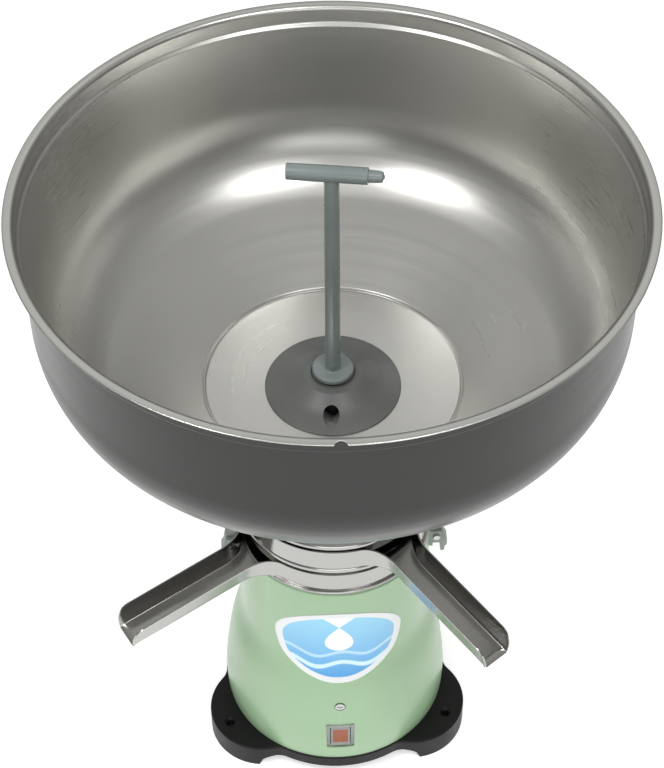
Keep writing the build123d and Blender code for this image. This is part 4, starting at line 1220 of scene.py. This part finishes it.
@dataclass
class Receiver(SubAssembly):
    """A pan of sheet steel whose band sweeps into an open sloping spout.

    The sheet is one surface of two parameters: u runs from the tip of one spout wall, round the pan, to
    the tip of the other, and v runs from the spout's middle line or the pan's centre hole, over the floor,
    through a small fillet and up the wall.
    """

    node: str = ""
    azimuth: float = 0.0
    radius: float = 62.0
    floor_z: float = 194.8
    shift: float = 4.0
    hole_r: float = 28.0
    lip_z: float = 200.0
    band: float = 16.5
    spout_band: float = 14.5
    floor_half: float = 9.0
    sweep_r: float = 26.0
    lean: float = 9.4
    slope: float = 8.0
    root_r: float = 62.0
    tip_r: float = 161.2
    tip_bend: float = 4.5
    fillet: float = 1.1
    tip_corner: float = 8.5
    sheet: float = 1.0
    edge_round: float = 0.32
    root_blend: float = 8.0
    tip_drop: float = 0.07

    def plan(self) -> tuple[np.ndarray, np.ndarray, np.ndarray]:
        """The wall's line on the floor, the line it is filled from, and how much of each point is spout.

        Returns:
            The wall line, the anchor line and the spout's share, each with one row a step of u.
        """
        walls, anchors, shares = [], [], []
        hole_angle = math.asin(self.shift / self.hole_r)
        root = (self.hole_r * math.cos(hole_angle), self.shift)
        spread = self.floor_half + self.sweep_r
        middle_x = math.sqrt((self.radius + self.sweep_r) ** 2 - spread**2)
        straight = self.tip_r - np.linspace(0, 1, 14) ** 1.6 * self.tip_corner
        for side in (1.0, -1.0):
            centre_y = self.shift + side * spread
            centre_x = math.sqrt((self.radius + self.sweep_r) ** 2 - centre_y**2)
            run = np.concatenate([straight, np.linspace(straight[-1], centre_x, 26)[1:]])
            base = np.concatenate([straight, np.linspace(straight[-1], middle_x, 26)[1:]])
            wall = np.column_stack([run, np.full(len(run), self.shift + side * self.floor_half)])
            anchor = np.column_stack([base, np.full(len(base), self.shift)])
            first = -side * math.pi / 2
            last = math.atan2(-centre_y, -centre_x)
            turn = (last - first + math.pi) % (2 * math.pi) - math.pi
            step = np.linspace(0.0, 1.0, 33)[1:]
            angles = first + turn * step
            sweep = np.column_stack([np.cos(angles), np.sin(angles)]) * self.sweep_r + (centre_x, centre_y)
            fill = np.column_stack([middle_x + (root[0] - middle_x) * step, np.full(len(step), self.shift)])
            half = (np.vstack([wall, sweep]), np.vstack([anchor, fill]))
            share = np.concatenate([np.ones(len(run)), 0.5 + 0.5 * np.cos(math.pi * step)])
            walls.append(half[0] if side > 0 else half[0][::-1])
            anchors.append(half[1] if side > 0 else half[1][::-1])
            shares.append(share if side > 0 else share[::-1])
        first = math.atan2(walls[0][-1][1], walls[0][-1][0])
        last = math.atan2(walls[1][0][1], walls[1][0][0]) + 2 * math.pi
        step = np.linspace(0.0, 1.0, 170)[1:-1]
        around = first + (last - first) * step
        hole = hole_angle + 2 * math.pi * step
        pan = np.column_stack([np.cos(around), np.sin(around)]) * self.radius
        rim = np.column_stack([np.cos(hole), np.sin(hole)]) * self.hole_r
        wall_line = np.vstack([walls[0], pan, walls[1]])
        anchor_line = np.vstack([anchors[0], rim, anchors[1]])
        return wall_line, anchor_line, np.concatenate([shares[0], np.zeros(len(step)), shares[1]])

    def surface(self) -> np.ndarray:
        """The inner skin of the sheet as a grid of points, with the spout along +X.

        Past the root at distance p the floor drops by tan(slope) (p + sqrt(p p + b b)) / 2, which is level
        before the root and sloped after it. The last stretch before the tip bends down as its square.

        Returns:
            Points of shape (steps round the wall, steps up the section, 3).
        """
        wall, anchor, share = self.plan()
        tangent = np.gradient(wall, axis=0)
        tangent = tangent / np.linalg.norm(tangent, axis=1, keepdims=True)
        outward = np.column_stack([tangent[:, 1], -tangent[:, 0]])
        into_wall = np.clip(self.tip_r - wall[:, 0], 0.0, self.tip_corner)
        corner = self.tip_corner - np.sqrt(self.tip_corner**2 - (self.tip_corner - into_wall) ** 2)
        full = self.band + (self.spout_band - self.band) * share
        height = full - np.where(share > 0.999, corner, 0.0)
        end = math.pi / 2 - math.radians(self.lean) * share
        inner = wall - outward * self.fillet
        floor_step = np.linspace(0.0, 1.0, 14)
        floor = anchor[:, None, :] + (inner - anchor)[:, None, :] * floor_step[None, :, None]
        floor_rise = np.zeros(floor.shape[:2])
        turn = end[:, None] * np.linspace(0.0, 1.0, 6)[None, 1:]
        bend = inner[:, None, :] + outward[:, None, :] * (self.fillet * np.sin(turn))[..., None]
        bend_rise = self.fillet * (1 - np.cos(turn))
        climb = (height - bend_rise[:, -1])[:, None] * np.linspace(0.0, 1.0, 9)[None, 1:]
        side = bend[:, -1][:, None, :] + outward[:, None, :] * (climb / np.tan(end)[:, None])[..., None]
        side_rise = bend_rise[:, -1][:, None] + climb
        flat = np.concatenate([floor, bend, side], axis=1)
        rise = np.concatenate([floor_rise, bend_rise, side_rise], axis=1)
        past = flat[..., 0] - self.root_r
        drop = math.tan(math.radians(self.slope)) * 0.5 * (past + np.sqrt(past**2 + self.root_blend**2))
        past_bend = np.clip(flat[..., 0] - self.tip_r + self.tip_bend, 0.0, self.tip_bend)
        height_z = self.floor_z + rise - drop - self.tip_drop * past_bend**2
        return np.concatenate([flat, height_z[..., None]], axis=-1)

    def build(self) -> None:
        """Give the skin its thickness, round the cut edges, add the hole's lip and the foot, and turn it."""
        points = self.surface()
        pan = grid_piece(self.node + "_pressed", points, False, False)
        floor_side = [f.normal.z for f in pan.data.polygons if abs(f.normal.z) > 0.9]
        if np.mean(floor_side) < 0:
            pan.data.flip_normals()
        shell = pan.modifiers.new("sheet", "SOLIDIFY")
        shell.thickness = self.sheet * MM
        shell.offset = -1.0
        shell.use_even_offset = True
        edge = pan.modifiers.new("cut_edge", "BEVEL")
        edge.width = self.edge_round * self.sheet * MM
        edge.segments = 2
        edge.limit_method = "ANGLE"
        edge.angle_limit = math.radians(60.0)
        remade(pan)
        joined(pan, [self.lip_ring(), *self.foot()])
        pan.data.transform(Matrix.Rotation(math.radians(self.azimuth - 90.0), 4, "Z"))
        self.stand_for(smoothed(pan, 40.0), self.node, "polished_steel")

    def lip_ring(self) -> bpy.types.Object:
        """The raised lip round the pan's centre hole."""
        section = rounded_line([
            (self.hole_r, self.floor_z - 1.0),
            (self.hole_r + 3.0, self.floor_z - 1.0),
            (self.hole_r + 3.0, self.floor_z + 0.05),
            (self.hole_r + 1.0, self.floor_z + 0.05, 0.8),
            (self.hole_r + 1.0, self.lip_z, 0.45),
            (self.hole_r, self.lip_z, 0.45),
        ], closed=True)
        return spun("lip", section, segments=96)

    def foot(self) -> list[bpy.types.Object]:
        """Rings under the pan; each receiver has its own."""
        return []


@dataclass
class SkimReceiver(Receiver):
    """Lower receiver, for the skimmed milk, with a seating flange and a spigot in the housing's neck."""

    node: str = "skim_receiver"
    azimuth: float = -61.3
    flange_r: float = 64.6
    seat_r: float = 61.2
    spigot_r: float = 61.0
    spigot_bore_r: float = 59.6
    spigot_z: float = 187.0

    def foot(self) -> list[bpy.types.Object]:
        """The spigot with its flange, one turned section."""
        z = self.floor_z
        section = rounded_line([
            (self.spigot_bore_r, self.spigot_z, 0.4),
            (self.spigot_r, self.spigot_z, 0.4),
            (self.spigot_r, z - 1.9, 0.6),
            (self.flange_r, z - 1.9, 0.9),
            (self.flange_r, z + 0.4, 0.9),
            (self.seat_r, z + 0.4, 0.4),
            (self.seat_r, z - 0.9, 0.2),
            (self.spigot_bore_r, z - 0.9, 0.2),
        ], closed=True)
        return [spun("spigot", section, segments=192)]


@dataclass
class CreamReceiver(Receiver):
    """Upper receiver, for the cream, with a rolled bead and a skirt that sit in the lower one."""

    node: str = "cream_receiver"
    azimuth: float = 37.9
    radius: float = 63.5
    floor_z: float = 220.3
    shift: float = -4.0
    hole_r: float = 22.0
    lip_z: float = 225.0
    bead_r: float = 61.0
    bead_z: float = 216.0
    bead_thick: float = 2.8
    skirt_r: float = 61.2
    skirt_bore_r: float = 60.0
    skirt_z: float = 205.0

    def foot(self) -> list[bpy.types.Object]:
        """The skirt and its rolled bead: a straight wall that swells into a round bead."""
        turn = np.linspace(-1.2, 1.2, 21)
        bead = np.column_stack([np.cos(turn), np.sin(turn)]) * self.bead_thick + (self.bead_r, self.bead_z)
        outer = np.vstack([
            rounded_line([
                (self.skirt_bore_r, self.skirt_z, 0.4),
                (self.skirt_r, self.skirt_z + 0.3),
                tuple(bead[0]),
            ]),
            bead,
            [(self.skirt_r, self.floor_z - 0.4), (self.skirt_bore_r, self.floor_z - 0.4)],
        ])
        return [spun("skirt", outer, segments=192)]


@dataclass
class FloatChamber(SubAssembly):
    """The cup under the bowl, with its nozzle, skirt, rolled bead and flared rim."""

    cup_r: float = 58.0
    floor_z: float = 243.0
    top_z: float = 322.6
    bead_r: float = 62.0
    bead_z: float = 240.4
    bead_thick: float = 2.6
    nozzle_r: float = 2.5
    nozzle_out_r: float = 4.0
    nozzle_z: float = 236.5
    skirt_r: float = 61.8
    skirt_bore_r: float = 60.6
    skirt_z: float = 230.0

    def build(self) -> None:
        """Turn the cup's closed section about the axis."""
        z = self.floor_z
        turn = np.linspace(-1.35, 1.0, 19)
        bead = np.column_stack([np.cos(turn), np.sin(turn)]) * self.bead_thick
        bead = bead + (self.bead_r - 0.2, self.bead_z)
        low = rounded_line([
            (self.nozzle_r, self.nozzle_z),
            (self.nozzle_out_r, self.nozzle_z, 0.4),
            (self.nozzle_out_r, z - 1.2, 0.8),
            (self.skirt_bore_r, z - 1.2, 0.6),
            (self.skirt_bore_r, self.skirt_z, 0.3),
            (self.skirt_r, self.skirt_z, 0.3),
            tuple(bead[0]),
        ])
        high = rounded_line([
            tuple(bead[-1]),
            (self.cup_r + 0.2, z + 1.6, 1.4),
            (self.cup_r, self.top_z - 8.0, 3.0),
            (self.cup_r + 5.0, self.top_z - 3.0, 1.5),
            (self.cup_r + 5.0, self.top_z, 0.5),
            (self.cup_r + 3.6, self.top_z, 0.5),
            (self.cup_r + 3.6, self.top_z - 2.4, 1.0),
            (self.cup_r - 1.2, self.top_z - 7.2, 2.0),
            (self.cup_r - 1.2, z + 1.0, 2.0),
            (self.nozzle_r, z),
        ])
        section = np.vstack([low, bead[1:-1], high])
        cup = spun("float_chamber_turned", section, segments=192)
        self.stand_for(smoothed(cup, 40.0), "float_chamber", "polished_steel")
        self.keep("milk_float")
        self.keep("float_pad")


# ---- Housing, badge, switch ----


@dataclass
class Housing(SubAssembly):
    """The mint green bell, its black base and the fittings that hold them."""

    kept: tuple[str, ...] = ("motor_housing", "base_plate", "base_screws", "cable_gland", "terminal_block",
                             "front_screw", "skim_gasket")

    def build(self) -> None:
        """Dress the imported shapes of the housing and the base."""
        for node in self.kept:
            self.keep(node)


@dataclass
class Badge(SubAssembly):
    """The thin printed badge, wrapped on the housing's front."""

    outline: tuple[Corner, ...] = ((0.0, 172.4), (19.0, 168.5), (33.0, 159.4), (40.9, 148.0), (42.5, 136.5),
                                   (38.5, 118.8), (27.2, 106.8), (13.0, 100.3), (0.0, 98.8))
    centre_z: float = 138.0
    thickness: float = 0.5
    rings: int = 24
    segments: int = 192
    flat_share: float = 0.985
    edge_drop: float = 0.12
    sink: float = 0.1

    def edge_line(self) -> np.ndarray:
        """A closed smooth line through the outline's points and their mirror images.

        Between two points the line is the cubic whose slope at each point is half the step between its
        neighbours.
        """
        right = np.array(self.outline, float)
        left = right[-2:0:-1] * (-1.0, 1.0)
        spots = np.vstack([right, left])
        slopes = (np.roll(spots, -1, axis=0) - np.roll(spots, 1, axis=0)) / 2
        count = self.segments // len(spots)
        t = np.linspace(0.0, 1.0, count, endpoint=False)[None, :, None]
        start, end = spots[:, None, :], np.roll(spots, -1, axis=0)[:, None, :]
        leave, arrive = slopes[:, None, :], np.roll(slopes, -1, axis=0)[:, None, :]
        curve = (2 * t**3 - 3 * t**2 + 1) * start + (t**3 - 2 * t**2 + t) * leave
        curve = curve + (3 * t**2 - 2 * t**3) * end + (t**3 - t**2) * arrive
        return curve.reshape(-1, 2)

    def face_radius(self, height: np.ndarray) -> np.ndarray:
        """The badge face's distance from the axis at a height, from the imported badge's own vertices.

        A fifth-degree curve is fitted to all vertices first, and then to those outside it, which are the
        face's.
        """
        mesh = self.frame["nodes"]["badge_plate"].data
        spots = np.zeros(len(mesh.vertices) * 3, np.float32)
        mesh.vertices.foreach_get("co", spots)
        spots = spots.reshape(-1, 3).astype(float) / MM
        radius = np.hypot(spots[:, 0], spots[:, 1])
        scaled = (spots[:, 2] - self.centre_z) / 40.0
        both = np.polyfit(scaled, radius, 5)
        outer = radius > np.polyval(both, scaled)
        face = np.polyfit(scaled[outer], radius[outer], 5)
        return np.polyval(face, (height - self.centre_z) / 40.0)

    def build(self) -> None:
        """Wrap the flat badge round the housing, with a rounded edge, and give it its map."""
        edge = self.edge_line()
        share = np.append(np.linspace(0.0, 1.0, self.rings) * self.flat_share, [1.0, 1.0])
        depth = np.append(np.zeros(self.rings), [self.edge_drop, self.thickness + self.sink])
        flat = np.array([0.0, self.centre_z]) + (edge - (0.0, self.centre_z))[None] * share[:, None, None]
        radius = self.face_radius(flat[..., 1]) - depth[:, None]
        across = np.clip(flat[..., 0], -radius, radius)
        points = np.stack([across, -np.sqrt(radius**2 - across**2), flat[..., 1]], axis=-1)
        badge = grid_piece("badge_printed", points, False, True)
        if badge.data.polygons[len(badge.data.polygons) // 2].normal.y > 0:
            badge.data.flip_normals()
        self.map_print(badge, edge)
        self.stand_for(smoothed(badge, 50.0), "badge_plate", "badge")

    def map_print(self, badge: bpy.types.Object, edge: np.ndarray) -> None:
        """Write the badge's flat map and each point's share of the way from the centre to the edge.

        Args:
            badge: The badge.
            edge: Its outline, flat.
        """
        mesh = badge.data
        spots = np.zeros(len(mesh.vertices) * 3, np.float32)
        mesh.vertices.foreach_get("co", spots)
        spots = spots.reshape(-1, 3) / MM
        flat = np.column_stack([spots[:, 0], spots[:, 2] - self.centre_z])
        outline = edge - (0.0, self.centre_z)
        angles = np.arctan2(outline[:, 1], outline[:, 0])
        order = np.argsort(angles)
        reach = np.interp(np.arctan2(flat[:, 1], flat[:, 0]), angles[order],
                          np.hypot(*outline[order].T), period=2 * math.pi)
        share = mesh.attributes.new("edge", "FLOAT", "POINT")
        share.data.foreach_set("value", (np.hypot(*flat.T) / reach).astype(np.float32))
        corner = np.zeros(len(mesh.loops), np.int32)
        mesh.loops.foreach_get("vertex_index", corner)
        width = 2 * np.abs(outline[:, 0]).max()
        place = np.column_stack([flat[:, 0] / width + 0.5, flat[:, 1] / width + 0.5])
        layer = mesh.uv_layers.new(name="badge")
        layer.data.foreach_set("uv", place[corner].astype(np.float32).ravel())


@dataclass
class Switch(SubAssembly):
    """The rocker switch on the front: its frame, rocker and lens."""

    kept: tuple[str, ...] = ("switch_frame", "switch_rocker", "switch_lens")

    def build(self) -> None:
        """Dress the switch."""
        for node in self.kept:
            self.keep(node)


@dataclass
class Latches(SubAssembly):
    """The two side latches that hold the lower receiver down."""

    def build(self) -> None:
        """Dress each side's bracket, pin and lever."""
        for side in ("right", "left"):
            for part in ("bracket", "pin", "lever"):
                self.keep(f"latch_{part}_{side}")


@dataclass
class Works(SubAssembly):
    """The motor and the drum inside the housing and the receivers."""

    motor: tuple[str, ...] = (
        "motor_shaft", "lower_bearing", "upper_bearing", "lower_bracket", "upper_bracket", "stator_core",
        "field_coils", "rotor_core", "rotor_windings", "commutator", "cooling_fan", "brush_holders",
        "carbon_brushes", "motor_bolts", "rubber_mounts", "mount_screws", "spindle_seal",
    )
    drum: tuple[str, ...] = ("drum_base", "disc_holder", "disc_stack", "separating_disc", "cream_screw",
                             "drum_cover", "drum_seal", "drum_nut")

    def build(self) -> None:
        """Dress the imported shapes, which are right as they are."""
        for node in self.motor + self.drum:
            self.keep(node)


# ---- Studio ----


@dataclass
class Studio:
    """Pale floor, soft lights and the camera."""

    camera_place: Corner = (-0.0381, -0.8395, 1.2314)
    camera_pitch: float = 42.87
    camera_heading: float = -2.6
    camera_roll: float = -0.386
    lens: float = 92.4
    shift_x: float = -0.0014
    table_glow: float = 0.55

    def floor(self) -> None:
        """A large plain floor with the faintest unevenness."""
        spread = np.linspace(-4000.0, 4000.0, 3)
        x, y = np.meshgrid(spread, spread)
        floor = grid_piece("floor", np.stack([x, y, np.full_like(x, -0.05)], axis=-1), False, False)
        if floor.data.polygons[0].normal.z < 0:
            floor.data.flip_normals()
        finish = MouldedFinish("pale_floor", (0.86, 0.86, 0.86), (0.7, 0.8), 0.0, 100.0, 0.004)
        table = finish.material()
        shader = table.node_tree.nodes["Principled BSDF"]
        shader.inputs["Emission Color"].default_value = (1.0, 1.0, 1.0, 1.0)
        shader.inputs["Emission Strength"].default_value = self.table_glow
        floor.data.materials.append(table)

    def light(
        self, name: str, place: Corner, target: Corner, size: tuple[float, float], power: float
    ) -> None:
        """Hang one soft box.

        Args:
            name: The light's name.
            place: Where it hangs, in metres.
            target: The point that it faces.
            size: Its width and height.
            power: Its power in watts.
        """
        data = bpy.data.lights.new(name, "AREA")
        data.shape = "RECTANGLE"
        data.size, data.size_y = size
        data.energy = power
        lamp = bpy.data.objects.new(name, data)
        bpy.context.scene.collection.objects.link(lamp)
        lamp.location = place
        lamp.rotation_euler = (Vector(target) - Vector(place)).to_track_quat("-Z", "Y").to_euler()

    def surroundings(self) -> None:
        """A grey room with a lighter ceiling."""
        world = bpy.data.worlds.new("grey_room")
        world.use_nodes = True
        nodes = world.node_tree.nodes
        links = world.node_tree.links
        nodes.clear()

        output = nodes.new("ShaderNodeOutputWorld")
        output.label = "Room"
        glow = nodes.new("ShaderNodeBackground")
        glow.label = "Walls and ceiling"
        way = nodes.new("ShaderNodeTexCoord")
        way.label = "Way out of the room"
        parts = nodes.new("ShaderNodeSeparateXYZ")
        parts.label = "Height of the way"
        ramp = nodes.new("ShaderNodeValToRGB")
        ramp.label = "Dark walls, pale ceiling"

        room_frame = nodes.new("NodeFrame")
        room_frame.label = "Room"
        for node in (way, parts, ramp):
            node.parent = room_frame
        lay_out([[way], [parts], [ramp], [glow], [output]])

        ramp.color_ramp.elements[0].position = 0.0
        ramp.color_ramp.elements[0].color = (0.13, 0.13, 0.13, 1.0)
        ramp.color_ramp.elements[1].position = 0.85
        ramp.color_ramp.elements[1].color = (0.5, 0.5, 0.49, 1.0)
        glow.inputs["Strength"].default_value = 1.0

        links.new(way.outputs["Generated"], parts.inputs[0])
        links.new(parts.outputs["Z"], ramp.inputs["Fac"])
        links.new(ramp.outputs["Color"], glow.inputs["Color"])
        links.new(glow.outputs[0], output.inputs["Surface"])
        bpy.context.scene.world = world
        bpy.context.scene.view_settings.view_transform = "Standard"

    def camera(self) -> None:
        """The camera, looking down over the rim."""
        data = bpy.data.cameras.new("camera")
        data.lens = self.lens
        data.sensor_width = 36.0
        data.shift_x = self.shift_x
        camera = bpy.data.objects.new("camera", data)
        bpy.context.scene.collection.objects.link(camera)
        turn = Matrix.Rotation(math.radians(self.camera_heading), 4, "Z")
        turn = turn @ Matrix.Rotation(math.radians(self.camera_pitch), 4, "X")
        turn = turn @ Matrix.Rotation(math.radians(self.camera_roll), 4, "Z")
        camera.matrix_world = Matrix.Translation(Vector(self.camera_place)) @ turn
        bpy.context.scene.camera = camera

    def build(self) -> None:
        """Set the whole stage."""
        self.floor()
        self.surroundings()
        self.camera()
        centre = (0.0, 0.0, 0.35)
        self.light("left_box", (-0.75, -0.55, 1.75), centre, (0.45, 0.45), 9.0)
        self.light("right_box", (0.45, -0.75, 1.85), centre, (0.5, 0.5), 8.0)
        self.light("back_box", (0.0, 1.5, 2.0), centre, (1.8, 0.9), 2.2)
        self.light("front_fill", (0.0, -2.2, 0.9), centre, (1.6, 1.0), 12.0)


def main() -> None:
    """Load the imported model, build each sub-assembly in order and set the stage."""
    logging.basicConfig(level=logging.INFO, format="%(name)s: %(message)s")
    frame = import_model()
    shelf = FinishShelf()
    Studio().build()
    groups = [
        Housing(frame, shelf),
        Badge(frame, shelf),
        Switch(frame, shelf),
        Latches(frame, shelf),
        Works(frame, shelf),
        SkimReceiver(frame, shelf),
        CreamReceiver(frame, shelf),
        FloatChamber(frame, shelf),
        MilkBowl(frame, shelf),
        Tap(frame, shelf),
    ]
    for group in groups:
        LOG.info("building %s", type(group).__name__)
        group.build()


if __name__ == "__main__":
    main()
